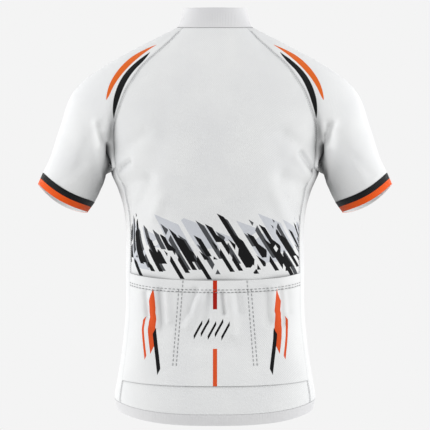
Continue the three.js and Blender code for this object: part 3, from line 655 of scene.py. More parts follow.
def shell_faces(rows, columns, closed):
    """Corner rows and columns of a shell's quads: outside, inside and rims, with the side of each."""
    last = columns if closed else columns - 1
    r, c = (axis.ravel() for axis in np.meshgrid(np.arange(rows - 1), np.arange(last), indexing="ij"))
    outside = [(0, r, c), (0, r, c + 1), (0, r + 1, c + 1), (0, r + 1, c)]
    inside = [(1, r, c), (1, r + 1, c), (1, r + 1, c + 1), (1, r, c + 1)]
    c = np.arange(last)
    first = np.zeros_like(c)
    end = first + rows - 1
    foot = [(0, first, c), (1, first, c), (1, first, c + 1), (0, first, c + 1)]
    top = [(0, end, c), (0, end, c + 1), (1, end, c + 1), (1, end, c)]
    groups = [outside, inside, foot, top]
    if not closed:
        r = np.arange(rows - 1)
        first = np.zeros_like(r)
        end = first + columns - 1
        groups += [
            [(0, r, first), (0, r + 1, first), (1, r + 1, first), (1, r, first)],
            [(0, r, end), (1, r, end), (1, r + 1, end), (0, r + 1, end)],
        ]
    corners = []
    for group in groups:
        sides = [np.full(len(spot[1]), spot[0]) for spot in group]
        corners.append(np.stack([np.stack([side, *spot[1:]], 1) for side, spot in zip(sides, group)], 1))
    return np.concatenate(corners)


SHARP_EDGE = 50 * DEGREE


def linked(name, data):
    made = bpy.data.objects.new(name, data)
    bpy.context.collection.objects.link(made)
    return made


def placed(name, mesh, material):
    mesh.materials.clear()
    mesh.materials.append(material)
    return linked(name, mesh)


def smoothed(mesh, sharp):
    """Smooth shading that breaks at edges sharper than an angle."""
    mesh.polygons.foreach_set("use_smooth", np.ones(len(mesh.polygons), bool))
    mesh.set_sharp_from_angle(angle=sharp)


def cloth_shell(name, grid, thickness, material, closed=False):
    """One piece of cloth as a thin closed shell, with its own coordinates, its print guides and the guides
    of its painted shade.
    """
    point = grid["point"]
    rows, columns = point.shape[:2]
    sides = np.stack([point, point - grid["normal"] * thickness]).reshape(-1, 3)
    corners = shell_faces(rows, columns, closed)
    side, r, c = corners[..., 0], corners[..., 1], corners[..., 2]
    faces = side * rows * columns + r * columns + c % columns
    a, b, c1, d = (sides[faces[:, corner]] for corner in range(4))
    volume = (a * np.cross(b, c1)).sum() + (a * np.cross(c1, d)).sum()
    if volume < 0:
        faces = faces[:, ::-1]
        r, c = r[:, ::-1], c[:, ::-1]
    mesh = bpy.data.meshes.new(name)
    mesh.from_pydata((sides * MM).tolist(), [], faces.tolist())
    cloth = mesh.uv_layers.new(name="cloth")
    cloth.data.foreach_set("uv", np.stack([grid["u"][r, c], grid["v"][r, c]], -1).ravel())
    guides = {"inside": np.stack([np.zeros((rows, columns)), np.ones((rows, columns))])}
    for guide in ("level", "seam", "hollow", "edge_black", "edge_orange"):
        if guide in grid:
            guides[guide] = np.stack([grid[guide]] * 2)
    for guide, values in guides.items():
        mesh.attributes.new(guide, "FLOAT", "POINT").data.foreach_set("value", values.ravel())
    smoothed(mesh, SHARP_EDGE)
    return placed(name, mesh, material)


# Materials

def linear(colour):
    """Linear RGBA of an sRGB hex colour."""
    channels = [int(colour[place:place + 2], 16) / 255 for place in (1, 3, 5)]
    return (*(c / 12.92 if c <= 0.04045 else ((c + 0.055) / 1.055) ** 2.4 for c in channels), 1)


def feed(tree, made, inputs):
    """Links each input that is a node or a socket, and sets any other."""
    for name, value in inputs.items():
        if isinstance(value, bpy.types.Node):
            value = value.outputs[0]
        if isinstance(value, bpy.types.NodeSocket):
            tree.links.new(value, made.inputs[name])
        else:
            made.inputs[name].default_value = value


def node(tree, kind, inputs=None, **settings):
    """Adds a node with its settings and its inputs."""
    made = tree.nodes.new(kind)
    for name, value in settings.items():
        setattr(made, name, value)
    feed(tree, made, inputs or {})
    return made


def calc(tree, operation, *values):
    """One step of arithmetic on sockets and numbers."""
    return node(tree, "ShaderNodeMath", dict(enumerate(values)), operation=operation)


def ranged(tree, value, low, high, at_low=0.0, at_high=1.0):
    """A value drawn out between two bounds, and held beyond them."""
    return node(tree, "ShaderNodeMapRange", dict(enumerate((value, low, high, at_low, at_high))))


def between(tree, value, low, high):
    return calc(tree, "COMPARE", value, (low + high) / 2, (high - low) / 2)


def all_of(tree, *masks):
    """Where every one of the masks holds."""
    total = masks[0]
    for mask in masks[1:]:
        total = calc(tree, "MULTIPLY", total, mask)
    return total


def tinted(tree, under, mask, colour):
    """One colour over what is under it."""
    return node(tree, "ShaderNodeMix", {0: mask, 6: under, 7: colour}, data_type="RGBA").outputs[2]


def guide(tree, name):
    """A guide of the piece that places its print and its painted shade, in millimetres."""
    return node(tree, "ShaderNodeAttribute", attribute_name=name).outputs["Fac"]


def outer_face_layer(tree, colour, mask, ink):
    """One colour laid on the outer face alone: an ink of the print, and in one use a painted shade."""
    outer = between(tree, guide(tree, "inside"), -0.5, 0.5)
    return tinted(tree, colour, all_of(tree, mask, outer), linear(ink))


def cloth_place(tree):
    return node(tree, "ShaderNodeUVMap", uv_map="cloth")


def cloth_axes(tree):
    """The cloth's own coordinates in millimetres: across and up, or down and round on a tube."""
    return node(tree, "ShaderNodeSeparateXYZ", {0: cloth_place(tree)}).outputs


def object_place(tree):
    return node(tree, "ShaderNodeTexCoord").outputs["Object"]


def cloud(tree, scale, detail=2.0):
    """Soft noise through the piece."""
    return node(tree, "ShaderNodeTexNoise", {"Vector": object_place(tree), "Scale": scale, "Detail": detail})


def open_material(name):
    material = bpy.data.materials.new(name)
    material.use_nodes = True
    tree = material.node_tree
    tree.nodes.clear()
    shader = node(tree, "ShaderNodeBsdfPrincipled")
    node(tree, "ShaderNodeOutputMaterial", {"Surface": shader})
    return material, tree, shader


END_SLANT = 1.6


def slanted_bar(tree, across, level, middle, slope, half, top, foot):
    """A bar between two levels that leans outwards as it falls, with ends cut along the other slant."""
    leaning = calc(tree, "MULTIPLY_ADD", calc(tree, "ADD", level, -top), -slope, across)
    inside = between(tree, leaning, middle - half, middle + half)
    cut = calc(tree, "MULTIPLY_ADD", leaning, -END_SLANT, level)
    shift = -END_SLANT * middle
    return all_of(tree, inside, between(tree, cut, top + shift, foot + shift))


TIP_LENGTH = 22.0
HALF_BREAK = 4.0


def broken_bars(tree, across, rise, slope, period, share, heights, seed):
    """Slanted bars side by side, each with its own length and its own break."""
    place = calc(tree, "DIVIDE", calc(tree, "MULTIPLY_ADD", rise, slope, across), period)
    within = calc(tree, "FRACT", place)
    cell = calc(tree, "ADD", calc(tree, "FLOOR", place), seed)
    chance = node(tree, "ShaderNodeTexWhiteNoise", {"W": cell}, noise_dimensions="1D")
    length, start, gap = node(tree, "ShaderNodeSeparateColor", {0: chance.outputs["Color"]}).outputs
    low, high = heights
    height = calc(tree, "MULTIPLY_ADD", length, high - low, low)
    under_tip = calc(tree, "LESS_THAN", rise, calc(tree, "MULTIPLY_ADD", within, -TIP_LENGTH, height))
    over_start = calc(tree, "GREATER_THAN", rise, calc(tree, "MULTIPLY", start, low))
    gap_tip = calc(tree, "MULTIPLY_ADD", within, TIP_LENGTH, calc(tree, "MULTIPLY", gap, height))
    no_gap = calc(tree, "SUBTRACT", 1.0, calc(tree, "COMPARE", rise, gap_tip, HALF_BREAK))
    inside = between(tree, within, 0.5 - share / 2, 0.5 + share / 2)
    return all_of(tree, inside, under_tip, over_start, no_gap)


FIBRE_SCALE = 0.9
CLOUD_SCALE = 14.0
HOLE_SHADE = 0.05


def knit_ground(tree, inks, pitches):
    """The knit's own colour and the height of its stitches, from the cloth's own coordinates."""
    waves = [
        calc(tree, "SINE", calc(tree, "MULTIPLY", axis, 2 * math.pi / pitch))
        for axis, pitch in zip(cloth_axes(tree), pitches)
    ]
    stitches = calc(tree, "MULTIPLY", *waves)
    place = cloth_place(tree)
    fibre = node(tree, "ShaderNodeTexNoise", {"Vector": place, "Scale": FIBRE_SCALE, "Detail": 3.0})
    height = calc(tree, "MULTIPLY_ADD", fibre, 0.5, stitches)
    thin, dense, hole = (linear(ink) for ink in inks)
    colour = tinted(tree, thin, ranged(tree, cloud(tree, CLOUD_SCALE), 0.3, 0.7), dense)
    return tinted(tree, colour, ranged(tree, stitches, -1.0, 1.0, 0.0, HOLE_SHADE), hole), height


# Painted shade along the seams and in closed slits: the reach of the seam line in millimetres, the strength
# of each painted shade, and its grey
SEAM_LINE = 0.4
SEAM_LINE_EDGE = 1.5
SEAM_SHADE = 0.12
SLIT_SHADE = 0.8
SHADOW_GREY = "#7a7c80"


def shaded_seams(tree, colour):
    """Painted shade: a thin grey line where the cloth turns in at a seam, and painted shadow in a closed
    slit.
    """
    line = ranged(tree, guide(tree, "seam"), SEAM_LINE, SEAM_LINE_EDGE, SEAM_SHADE, 0.0)
    outer = calc(tree, "SUBTRACT", 1.0, guide(tree, "inside"))
    colour = tinted(tree, colour, all_of(tree, line, outer), linear(SHADOW_GREY))
    slit = ranged(tree, guide(tree, "hollow"), 0.3, 1.0, 0.0, SLIT_SHADE)
    return tinted(tree, colour, slit, linear(SHADOW_GREY))


# Painted shade from ambient occlusion: its reach in metres, the occlusion where it starts and where it is
# full, its strength and its grey
HOLLOW_REACH = 0.13
HOLLOW_OPEN = 0.95
HOLLOW_CLOSED = 0.3
HOLLOW_SHADE = 0.75
PAINTED_SHADE_GREY = "#303134"


def shaded_hollows(tree, colour):
    """Painted shade: the knit's colour is darkened towards a grey where ambient occlusion finds the cloth
    closed in.
    """
    sky = node(tree, "ShaderNodeAmbientOcclusion", {"Distance": HOLLOW_REACH}, samples=8)
    closed = ranged(tree, sky.outputs["AO"], HOLLOW_OPEN, HOLLOW_CLOSED, 0.0, HOLLOW_SHADE)
    # The grey laid here is painted shade, not ink
    return outer_face_layer(tree, colour, closed, PAINTED_SHADE_GREY)


def finish_cloth(tree, shader, colour, height, roughness, bump):
    """A matt cloth: a low shine, a trace of nap, and its stitches raised by a height in millimetres."""
    raised = node(tree, "ShaderNodeBump", {"Height": height, "Distance": bump * MM, "Strength": 1.0})
    feed(tree, shader, {
        "Base Color": colour,
        "Normal": raised,
        "Roughness": roughness,
        "Sheen Weight": 0.02,
        "Sheen Roughness": 0.5,
        "Specular IOR Level": 0.2,
    })


def white_knits(colours):
    return colours.white, colours.white_shade, colours.mesh_hole


# Ink, slope, period and share of each row of bars, how far they rise above the pockets, and a seed
PRINT_BARS = (
    ("print_pale", 0.62, 47.0, 0.8, (86.0, 118.0), 3.0),
    ("print_grey", 0.62, 23.0, 0.4, (62.0, 120.0), 12.0),
    ("black", 0.62, 15.5, 0.5, (38.0, 108.0), 27.0),
    ("black", 0.62, 31.0, 0.28, (74.0, 127.0), 41.0),
)


def back_print(tree, colour, colours):
    """Slanted broken bars over the small of the back, in three greys, that all lean one way."""
    across = cloth_axes(tree)[0]
    rise = calc(tree, "SUBTRACT", float(POCKET_TOP), guide(tree, "level"))
    for ink, *form in PRINT_BARS:
        colour = outer_face_layer(tree, colour, broken_bars(tree, across, rise, *form), getattr(colours, ink))
    return colour


STRIPE_HALF = 3.6
STRIPE_PARTS = (("orange", 430.0, 452.0), ("red", 452.0, 480.0), ("deep_orange", 547.0, 611.0))

# Ink, middle and slope of each bar, half its width, and the levels of its ends
POCKET_BARS = (
    ("deep_orange", 117.0, -0.12, 7.0, 460.0, 548.0),
    ("deep_orange", 129.0, -0.12, 2.2, 500.0, 566.0),
    ("black", 105.0, -0.12, 3.4, 520.0, 588.0),
)

# Small dashes between the parts of the stripe: middle and top of each
CENTRE_DASHES = ((-22.0, 502.0), (-10.0, 498.0), (2.0, 503.0), (14.0, 499.0), (25.0, 504.0))
DASH_SLOPE = 0.55
DASH_HALF = 2.1
DASH_LENGTH = 26.0


def pocket_print(tree, colour, colours):
    """The broken centre stripe, slanted bars near the sides, and small dashes in the stripe's gap."""
    from_left = cloth_axes(tree)[0]
    across = calc(tree, "ABSOLUTE", from_left)
    level = guide(tree, "level")
    stripe = between(tree, across, -STRIPE_HALF, STRIPE_HALF)
    for ink, top, foot in STRIPE_PARTS:
        mask = all_of(tree, stripe, between(tree, level, top, foot))
        colour = outer_face_layer(tree, colour, mask, getattr(colours, ink))
    for ink, *form in POCKET_BARS:
        colour = outer_face_layer(tree, colour, slanted_bar(tree, across, level, *form), getattr(colours, ink))
    for middle, top in CENTRE_DASHES:
        form = (middle, -DASH_SLOPE, DASH_HALF, top, top + DASH_LENGTH)
        colour = outer_face_layer(tree, colour, slanted_bar(tree, from_left, level, *form), colours.black)
    return colour


def sleeve_print(tree, colour, colours):
    """Two crescents beside the raglan seam, black next to it and orange outside."""
    for edge, ink in (("edge_black", colours.black), ("edge_orange", colours.bright_orange)):
        colour = outer_face_layer(tree, colour, ranged(tree, guide(tree, edge), -0.3, 0.3), ink)
    return colour


# Distance from one row of stitches to the next, across the cloth and along it
KNIT_PITCH = (3.4, 4.2)
CUFF_PITCH = (40.0, 3.2)
RIB_PITCH = (2.8, 60.0)
TWILL_PITCH = (2.2, 2.2)


def knit_material(name, colours, extra=None):
    """Polyester micro-mesh knit, printed by dye sublimation: matt and even, with fine rows of holes
    that only show close up. The real mesh pitch is about 1.5 mm and is drawn a little coarser."""
    material, tree, shader = open_material(name)
    colour, height = knit_ground(tree, white_knits(colours), KNIT_PITCH)
    if extra:
        colour = extra(tree, colour, colours)
    # Painted shade along the seams, in closed slits and where the cloth is closed in
    colour = shaded_hollows(tree, shaded_seams(tree, colour))
    finish_cloth(tree, shader, colour, height, roughness=0.78, bump=0.12)
    return material


def cuff_material(colours):
    """Woven elastic, ribbed along the arm: black above, orange below, undyed inside."""
    material, tree, shader = open_material("cuff elastic")
    colour, height = knit_ground(tree, white_knits(colours), CUFF_PITCH)
    down = cloth_axes(tree)[0]
    half = CUFF_DEPTH / 2
    past = 5.0
    for ink, top, foot in ((colours.black, -past, half), (colours.cuff_orange, half, CUFF_DEPTH + past)):
        colour = outer_face_layer(tree, colour, between(tree, down, top, foot), ink)
    # Painted shade where the elastic is closed in
    finish_cloth(tree, shader, shaded_hollows(tree, colour), height, roughness=0.62, bump=0.25)
    return material


def rib_material(colours):
    """Fine rib knit of the collar and the hem: faint upright ribs."""
    material, tree, shader = open_material("rib knit")
    colour, height = knit_ground(tree, (colours.rib, colours.rib_shade, colours.mesh_hole), RIB_PITCH)
    # Painted shade along the seams and where the rib is closed in
    colour = shaded_hollows(tree, shaded_seams(tree, colour))
    finish_cloth(tree, shader, colour, height, roughness=0.74, bump=0.1)
    return material


def tape_material(colours):
    """Woven polyester zip tape: a fine twill, a little yellower than the knit."""
    material, tree, shader = open_material("zip tape weave")
    inks = (colours.tape, colours.white_shade, colours.mesh_hole)
    finish_cloth(tree, shader, *knit_ground(tree, inks, TWILL_PITCH), roughness=0.7, bump=0.15)
    return material


def mottled_material(name, shade, light, scale, finish):
    """A smooth finish whose tone varies in small clouds between a shade and a lighter one."""
    material, tree, shader = open_material(name)
    colour = tinted(tree, linear(shade), cloud(tree, scale), linear(light))
    feed(tree, shader, {"Base Color": colour, **finish})
    return material


def coil_material(colours):
    """Moulded polyester coil: smooth, a little glossy, with slight unevenness from the mould."""
    return mottled_material("moulded coil", colours.tape, colours.white, 300.0, {"Roughness": 0.38})


def thread_material(name, shade, light):
    """Spun polyester sewing thread: a slight sheen and a tone that varies along it."""
    return mottled_material(name, shade, light, 700.0, {"Roughness": 0.55, "Sheen Weight": 0.2})


def zinc_material(colours):
    """Die-cast zinc with a satin nickel plate: grey, with fine wear that breaks up its gloss."""
    material, tree, shader = open_material("satin nickel plate")
    wear_marks = cloud(tree, 900.0, 4.0)
    feed(tree, shader, {
        "Base Color": tinted(tree, linear(colours.metal), wear_marks, linear(colours.metal_dark)),
        "Roughness": ranged(tree, wear_marks, 0.3, 0.7, 0.24, 0.42),
        "Metallic": 1.0,
    })
    return material


def floor_material():
    """Pale painted studio floor that fades into the light at its rim."""
    material = mottled_material("studio floor paint", "#efefee", "#f4f4f3", 3.0, {"Roughness": 0.9})
    tree = material.node_tree
    away = node(tree, "ShaderNodeVectorMath", {0: object_place(tree)}, operation="LENGTH").outputs["Value"]
    faded = ranged(tree, away, FLOOR_FADE, FLOOR_RADIUS, 1.0, 0.0)
    feed(tree, tree.nodes["Principled BSDF"], {"Alpha": faded})
    return material


# Geometry Nodes

BEAD_TREE = "Beads along a path"
BEAD_INPUTS = (
    ("Geometry", "Geometry"),
    ("Spacing", "Float"),
    ("Bead size", "Vector"),
    ("Sides", "Int"),
    ("Rings", "Int"),
    ("Material", "Material"),
)


def bead_tree():
    """A tree that lays one rounded bead after another along each line of a mesh."""
    tree = bpy.data.node_groups.new(BEAD_TREE, "GeometryNodeTree")
    for name, kind in BEAD_INPUTS:
        tree.interface.new_socket(name, in_out="INPUT", socket_type="NodeSocket" + kind)
    tree.interface.new_socket("Geometry", in_out="OUTPUT", socket_type="NodeSocketGeometry")
    given = node(tree, "NodeGroupInput").outputs
    line = node(tree, "GeometryNodeMeshToCurve", {"Mesh": given["Geometry"]})
    spaced = {"Curve": line, "Length": given["Spacing"]}
    steps = node(tree, "GeometryNodeResampleCurve", spaced, mode="LENGTH")
    facets = {"Segments": given["Sides"], "Rings": given["Rings"]}
    ball = node(tree, "GeometryNodeMeshUVSphere", {**facets, "Radius": 0.5})
    bead = node(tree, "GeometryNodeTransform", {"Geometry": ball, "Scale": given["Bead size"]})
    tangent = node(tree, "GeometryNodeInputTangent")
    turn = node(tree, "FunctionNodeAlignRotationToVector", {"Vector": tangent}, axis="Z")
    laid = node(tree, "GeometryNodeInstanceOnPoints", {"Points": steps, "Instance": bead, "Rotation": turn})
    real = node(tree, "GeometryNodeRealizeInstances", {"Geometry": laid})
    smooth = node(tree, "GeometryNodeSetShadeSmooth", {"Geometry": real})
    done = node(tree, "GeometryNodeSetMaterial", {"Geometry": smooth, "Material": given["Material"]})
    node(tree, "NodeGroupOutput", {"Geometry": done})
    return tree


def lay_beads(name, paths, spacing, size, sides, rings, material):
    """One piece made of the beads along all the paths, which are in millimetres."""
    tree = bpy.data.node_groups.get(BEAD_TREE) or bead_tree()
    points = np.concatenate(paths) * MM
    starts = np.cumsum([0, *(len(path) for path in paths)])
    edges = [(i, i + 1) for start, end in zip(starts, starts[1:]) for i in range(start, end - 1)]
    lines = bpy.data.meshes.new(name)
    lines.from_pydata(points.tolist(), edges, [])
    piece = placed(name, lines, material)
    modifier = piece.modifiers.new("Beads", "NODES")
    modifier.node_group = tree
    values = {
        "Spacing": spacing * MM,
        "Bead size": [length * MM for length in size],
        "Sides": sides,
        "Rings": rings,
        "Material": material,
    }
    for socket in tree.interface.items_tree:
        if socket.name in values:
            modifier[socket.identifier] = values[socket.name]
    depsgraph = bpy.context.evaluated_depsgraph_get()
    mesh = bpy.data.meshes.new_from_object(piece.evaluated_get(depsgraph))
    piece.modifiers.clear()
    piece.data = mesh
    if not mesh.polygons:
        raise RuntimeError(f"{name} came out empty")
    return piece


def wear(piece, slot, *nodes, body_name="garment"):
    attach(piece, body_name)
    if nodes:
        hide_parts(*nodes)


def wear_cloth(piece, slot, solid):
    """Puts a piece of cloth in the place of one solid; the slot of what shows is not used."""
    wear(piece, slot, solid)


def make_back(sizes, colours):
    grid = whole(half_panel(BACK_TOP, back_middle, BACK_SIDE, BACK_FRAMES))
    lines = [grid["point"][-1], grid["point"][:, [0, -1]]]
    grid = creased(measured(grid, grid["point"].shape[1] // 2), CREASES)
    grid = seamed(grid, lines, sizes.seam_dip, sizes.seam_reach)
    material = knit_material("printed micro-mesh knit", colours, back_print)
    return cloth_shell("back_panel_cloth", grid, sizes.cloth_wall, material)


def make_front(sizes, name, material, on_right):
    grid = half_panel(FRONT_TOP, zip_angle, FRONT_SIDE, FRONT_FRAMES)
    if on_right:
        grid = mirrored(grid)
    lines = [grid["point"][-1], grid["point"][:, 0]]
    grid = creased(measured(grid), CREASES)
    grid = seamed(grid, lines, sizes.seam_dip, sizes.seam_reach)
    return cloth_shell(name, grid, sizes.cloth_wall, material)


def sleeve_tube():
    """The sleeve and its cuff band as one tube, so that both share the cuff seam."""
    smooth = sleeve_lines(finer(SLEEVE_ROWS, STEPS))
    last = smooth[-1]
    low, high = ring_ends(-1)
    centre = (low + high) / 2
    arm = last - centre
    along = (arm @ ARM_DOWN)[:, None]
    flat = arm - ARM_DOWN * along
    shares = (np.arange(CUFF_STEPS * STEPS) + 1) / (CUFF_STEPS * STEPS)
    cuff = [centre + flat * mix(1, CUFF_TAPER, s) + ARM_DOWN * (along + CUFF_DEPTH * s) for s in shares]
    tube = np.concatenate([smooth, cuff])
    normal = tube_normals(tube)
    point = sunk(tube, normal, fold_depth(tube, FOLDS, True))
    point[0] = SEAM_FRAMES["point"] + SEAM_FRAMES["outward"] * HALF_GAP
    normal[0] = SEAM_FRAMES["normal"]
    return {"point": point, "normal": normal}


SLEEVE_TUBE = sleeve_tube()
CUFF_ROW = (len(SLEEVE_ROWS) - 1) * STEPS

# Outlines of the crescents as they lie on the sleeve's back: at each level, the distance from the
# middle of the garment to the edge next to the raglan seam and to the outer edge
CRESCENT_BLACK = rows_of(
    "z inner outer",
    (-157, 172.5, 172.5), (-144, 169.5, 174), (-126, 164, 173), (-109, 158, 169), (-90, 149, 161),
    (-73, 137, 149), (-56, 121, 131), (-40, 109, 109),
)
CRESCENT_ORANGE = rows_of(
    "z inner outer",
    (-126, 185.5, 185.5), (-117, 180.5, 185), (-100, 172.5, 181), (-83, 161.5, 173), (-64, 145, 159),
    (-47, 126, 140), (-35, 110, 118), (-27, 98, 98),
)


def crescent_edge(point, crescent):
    """Distance inside a crescent, seen from behind; it is negative outside it and in front."""
    level = point[..., 2]
    across = np.abs(point[..., 0])
    inner = read(crescent, "z", "inner", level)
    outer = read(crescent, "z", "outer", level)
    inside = np.minimum(across - inner, outer - across)
    past_ends = np.minimum(level - crescent["z"][0], crescent["z"][-1] - level)
    return np.minimum(np.minimum(inside, past_ends), point[..., 1])


def sleeve_grid(on_right):
    grid = {name: values[:CUFF_ROW + 1].copy() for name, values in SLEEVE_TUBE.items()}
    pull_back(grid["point"], (TOP, ALL), (BELOW_TOP, ALL))
    if on_right:
        grid = mirrored(grid)
    grid = measured_tube(grid)
    grid["edge_black"] = crescent_edge(grid["point"], CRESCENT_BLACK)
    grid["edge_orange"] = crescent_edge(grid["point"], CRESCENT_ORANGE)
    return grid


def make_sleeve(sizes, name, material, on_right):
    grid = sleeve_grid(on_right)
    line = grid["point"][0]
    free = ease(np.clip(grid["u"][:, :-1] / SEAM_REST, 0, 1))
    grid = creased({**grid, "hollow": np.zeros_like(free)}, SLEEVE_CREASES, free)
    grid = seamed(tucked(grid, TUCKS, free), [line], sizes.seam_dip, sizes.seam_reach)
    return cloth_shell(name, grid, sizes.cloth_wall, material, closed=True)


def make_cuff(sizes, name, material, on_right):
    grid = {key: values[CUFF_ROW:].copy() for key, values in SLEEVE_TUBE.items()}
    pull_back(grid["point"], (FOOT, ALL), (ABOVE_FOOT, ALL))
    grid["point"] += grid["normal"] * sizes.band_proud
    if on_right:
        grid = mirrored(grid)
    return cloth_shell(name, measured_tube(grid), sizes.band_wall, material, closed=True)


def crossed(levels, across):
    """Levels and places across them as two grids of one shape."""
    return np.broadcast_arrays(levels[:, None], across)


def collar_grid():
    down = finer(COLLAR_ROWS, STEPS)
    side = joined(
        neck_steps(0, NECK_CORNER_BACK, BACK_NECK_STEPS),
        part_of(SLEEVE_NECK, ALL_BUT_FIRST),
    )["angle"]
    front = np.linspace(NECK_CORNER_FRONT, zip_angle(down), FRONT_NECK_STEPS * STEPS + 1, axis=1)[:, 1:]
    left = np.concatenate([np.tile(side, (len(down), 1)), front], 1)
    angle = np.concatenate([-left[:, :0:-1], left], 1)
    level, angle = crossed(down, angle)
    point = body(level, angle)
    point[0, :, 2] += SEAM_GAP
    normal = normal_of(body, np.minimum(level, COLLAR_FOOT), angle)
    return {"point": point, "normal": normal}


def make_collar(sizes, material):
    grid = collar_grid()
    line = grid["point"][0]
    middle = grid["point"].shape[1] // 2
    grid = seamed(measured(grid, middle), [line], sizes.seam_dip / 2, sizes.seam_reach)
    return cloth_shell("collar_cloth", grid, sizes.collar_wall, material)


def both_ways(left):
    """Places across the left half, and the same on the right, with the middle between them."""
    return np.concatenate([left, -left[-2::-1]])


def hem_angles(down):
    front = np.linspace(SIDE_SEAM, zip_angle(down), len(FRONT_TOP["down"]))[::-1]
    back = np.linspace(SIDE_SEAM, 0, len(BACK_TOP["down"]))[1:]
    return both_ways(np.concatenate([front, back]))


def make_hem(sizes, material):
    levels = finer((HEM_EDGE, HEM_SEAM), 2 * STEPS)
    angle = np.stack([hem_angles(down) for down in levels])
    level, angle = crossed(levels, angle)
    point = body(level, angle)
    normal = normal_of(body, level, angle)
    pull_back(point, (TOP, ALL), (BELOW_TOP, ALL))
    point += normal * sizes.band_proud
    grid = measured({"point": point, "normal": normal}, angle.shape[1] // 2)
    grid = seamed(grid, [grid["point"][-1]], sizes.seam_dip / 2, sizes.seam_reach)
    return cloth_shell("hem_cloth", grid, sizes.band_wall, material)


def pocket_puff(down, angle):
    """How far the pocket cloth stands off: nothing along its seams and dividers."""
    from_side = POCKET_COLUMNS * (1 - np.abs(angle) / SIDE_SEAM)
    beside = from_side / DIVIDER_COLUMN
    middle = (from_side - DIVIDER_COLUMN) / (2 * (POCKET_COLUMNS - DIVIDER_COLUMN))
    share = np.where(from_side <= DIVIDER_COLUMN, beside, middle)
    height = np.clip((POCKET_FOOT - down) / (POCKET_FOOT - POCKET_TOP), 0, 1)
    return POCKET_PUFF * np.sin(math.pi * share) ** 2 * np.sin(math.pi * MOUTH_SHARE * height)


def pocket_surface(sizes, down, angle):
    """The outside of the pocket cloth, with the creases that hang from its elastic."""
    normal = normal_of(body, down, angle)
    puff = pocket_puff(down, angle)
    point = body(down, angle) + normal * (SEAM_GAP + sizes.cloth_wall + puff)[..., None]
    inward = np.minimum(fold_depth(point, POCKET_CREASES), puff)
    return sunk(point, normal, inward), normal


def pocket_grid(sizes, foot_level, top_level, rows):
    levels = np.linspace(foot_level, top_level, rows * STEPS)
    across = both_ways(np.linspace(SIDE_SEAM, 0, POCKET_COLUMNS * STEPS + 1))
    level, angle = crossed(levels, across)
    point, normal = pocket_surface(sizes, level, angle)
    pull_back(point, (ALL, 0), (ALL, 1))
    pull_back(point, (ALL, -1), (ALL, -2))
    return measured({"point": point, "normal": normal, "level": level}, POCKET_COLUMNS * STEPS)


def make_pocket(sizes, name, foot_level, top_level, rows, material):
    grid = pocket_grid(sizes, foot_level, top_level, rows)
    lines = [grid["point"][:, 0], grid["point"][:, -1]]
    if foot_level == POCKET_FOOT:
        lines.append(grid["point"][0])
        pull_back(grid["point"], (TOP, ALL), (BELOW_TOP, ALL))
    else:
        pull_back(grid["point"], (FOOT, ALL), (ABOVE_FOOT, ALL))
    grid = seamed(grid, lines, 0.0, sizes.seam_reach)
    return cloth_shell(name, grid, sizes.cloth_wall, material)


def zip_line(out, across, levels):
    angle = math.pi - np.arcsin(across / body_ring(levels)["half"])
    normal = normal_of(smooth_body, levels, angle)
    return smooth_body(levels, angle) + normal * out, normal


def make_tape(sizes, material):
    levels = np.linspace(HEM_EDGE, -COLLAR_HEIGHT, TAPE_ROWS * STEPS)
    across = np.linspace(-TAPE_HALF, TAPE_HALF, 2 * TAPE_HALF_COLUMNS * STEPS + 1)
    level, across = crossed(levels, across)
    point, normal = zip_line(TAPE_FACE, across, level)
    grid = measured({"point": point, "normal": normal}, TAPE_HALF_COLUMNS * STEPS)
    return cloth_shell("zip_tape_cloth", grid, sizes.tape_wall, material)


ZIP_END = 3
TEETH_LINE_POINTS = 300
TOOTH_OFFSET = 1.1
TOOTH_LENGTH = 3.3
TOOTH_SHARE = 0.62
TOOTH_FACETS = (8, 6)


def make_teeth(sizes, material):
    """Two rows of coil turns that mesh over the middle of the tape."""
    levels = np.linspace(HEM_EDGE - ZIP_END, ZIP_END - COLLAR_HEIGHT, TEETH_LINE_POINTS)
    paths = []
    for side, lag in ((-1, 0), (1, sizes.tooth_pitch / 2)):
        line, _ = zip_line(TEETH_OUT, np.full_like(levels, side * TOOTH_OFFSET), levels - lag)
        paths.append(line)
    size = (TOOTH_LENGTH, sizes.tooth_pitch, sizes.tooth_pitch * TOOTH_SHARE)
    return lay_beads("zip_teeth", paths, sizes.tooth_pitch, size, *TOOTH_FACETS, material)


# How a casting's mesh is cleaned, bevelled and shaded: a distance in metres, then angles
SAME_POINT = 1e-6
FLAT_ANGLE = 2 * DEGREE
CASTING_EDGE = 25 * DEGREE
CASTING_SHARP = 40 * DEGREE


def bevelled_copy(node_name, name, width, material):
    """A CAD node's form with its edges broken, as a casting's are."""
    form = bmesh.new()
    form.from_mesh(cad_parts[node_name].data)
    bmesh.ops.remove_doubles(form, verts=form.verts, dist=SAME_POINT)
    bmesh.ops.dissolve_limit(form, angle_limit=FLAT_ANGLE, verts=form.verts, edges=form.edges)
    sharp = [edge for edge in form.edges if edge.calc_face_angle(0) > CASTING_EDGE]
    bmesh.ops.bevel(form, geom=sharp, offset=width * MM, segments=3, profile=0.5, affect="EDGES")
    bmesh.ops.triangulate(form, faces=form.faces)
    mesh = bpy.data.meshes.new(name)
    form.to_mesh(mesh)
    form.free()
    smoothed(mesh, CASTING_SHARP)
    return placed(name, mesh, material)


# Facets round and along a stitch, and points along the lines that carry the stitches
STITCH_FACETS = (6, 4)
MOUTH_LINE_POINTS = 160
SIDE_LINE_POINTS = 90
DIVIDER_LINE_POINTS = 60

# Where the rows of stitches start and end, in grid steps, millimetres and angles
ARM_STITCH_START = 2
NECK_STITCH_GAP = 2
SIDE_STITCH_FOOT = 4
SIDE_STITCH_TOP = 268
SIDE_STITCH_SHIFT = 0.9 * DEGREE
MOUTH_END = 1.5 * DEGREE
MOUTH_ROWS = (5, 0.8)
DIVIDER_STITCH_FOOT = 36

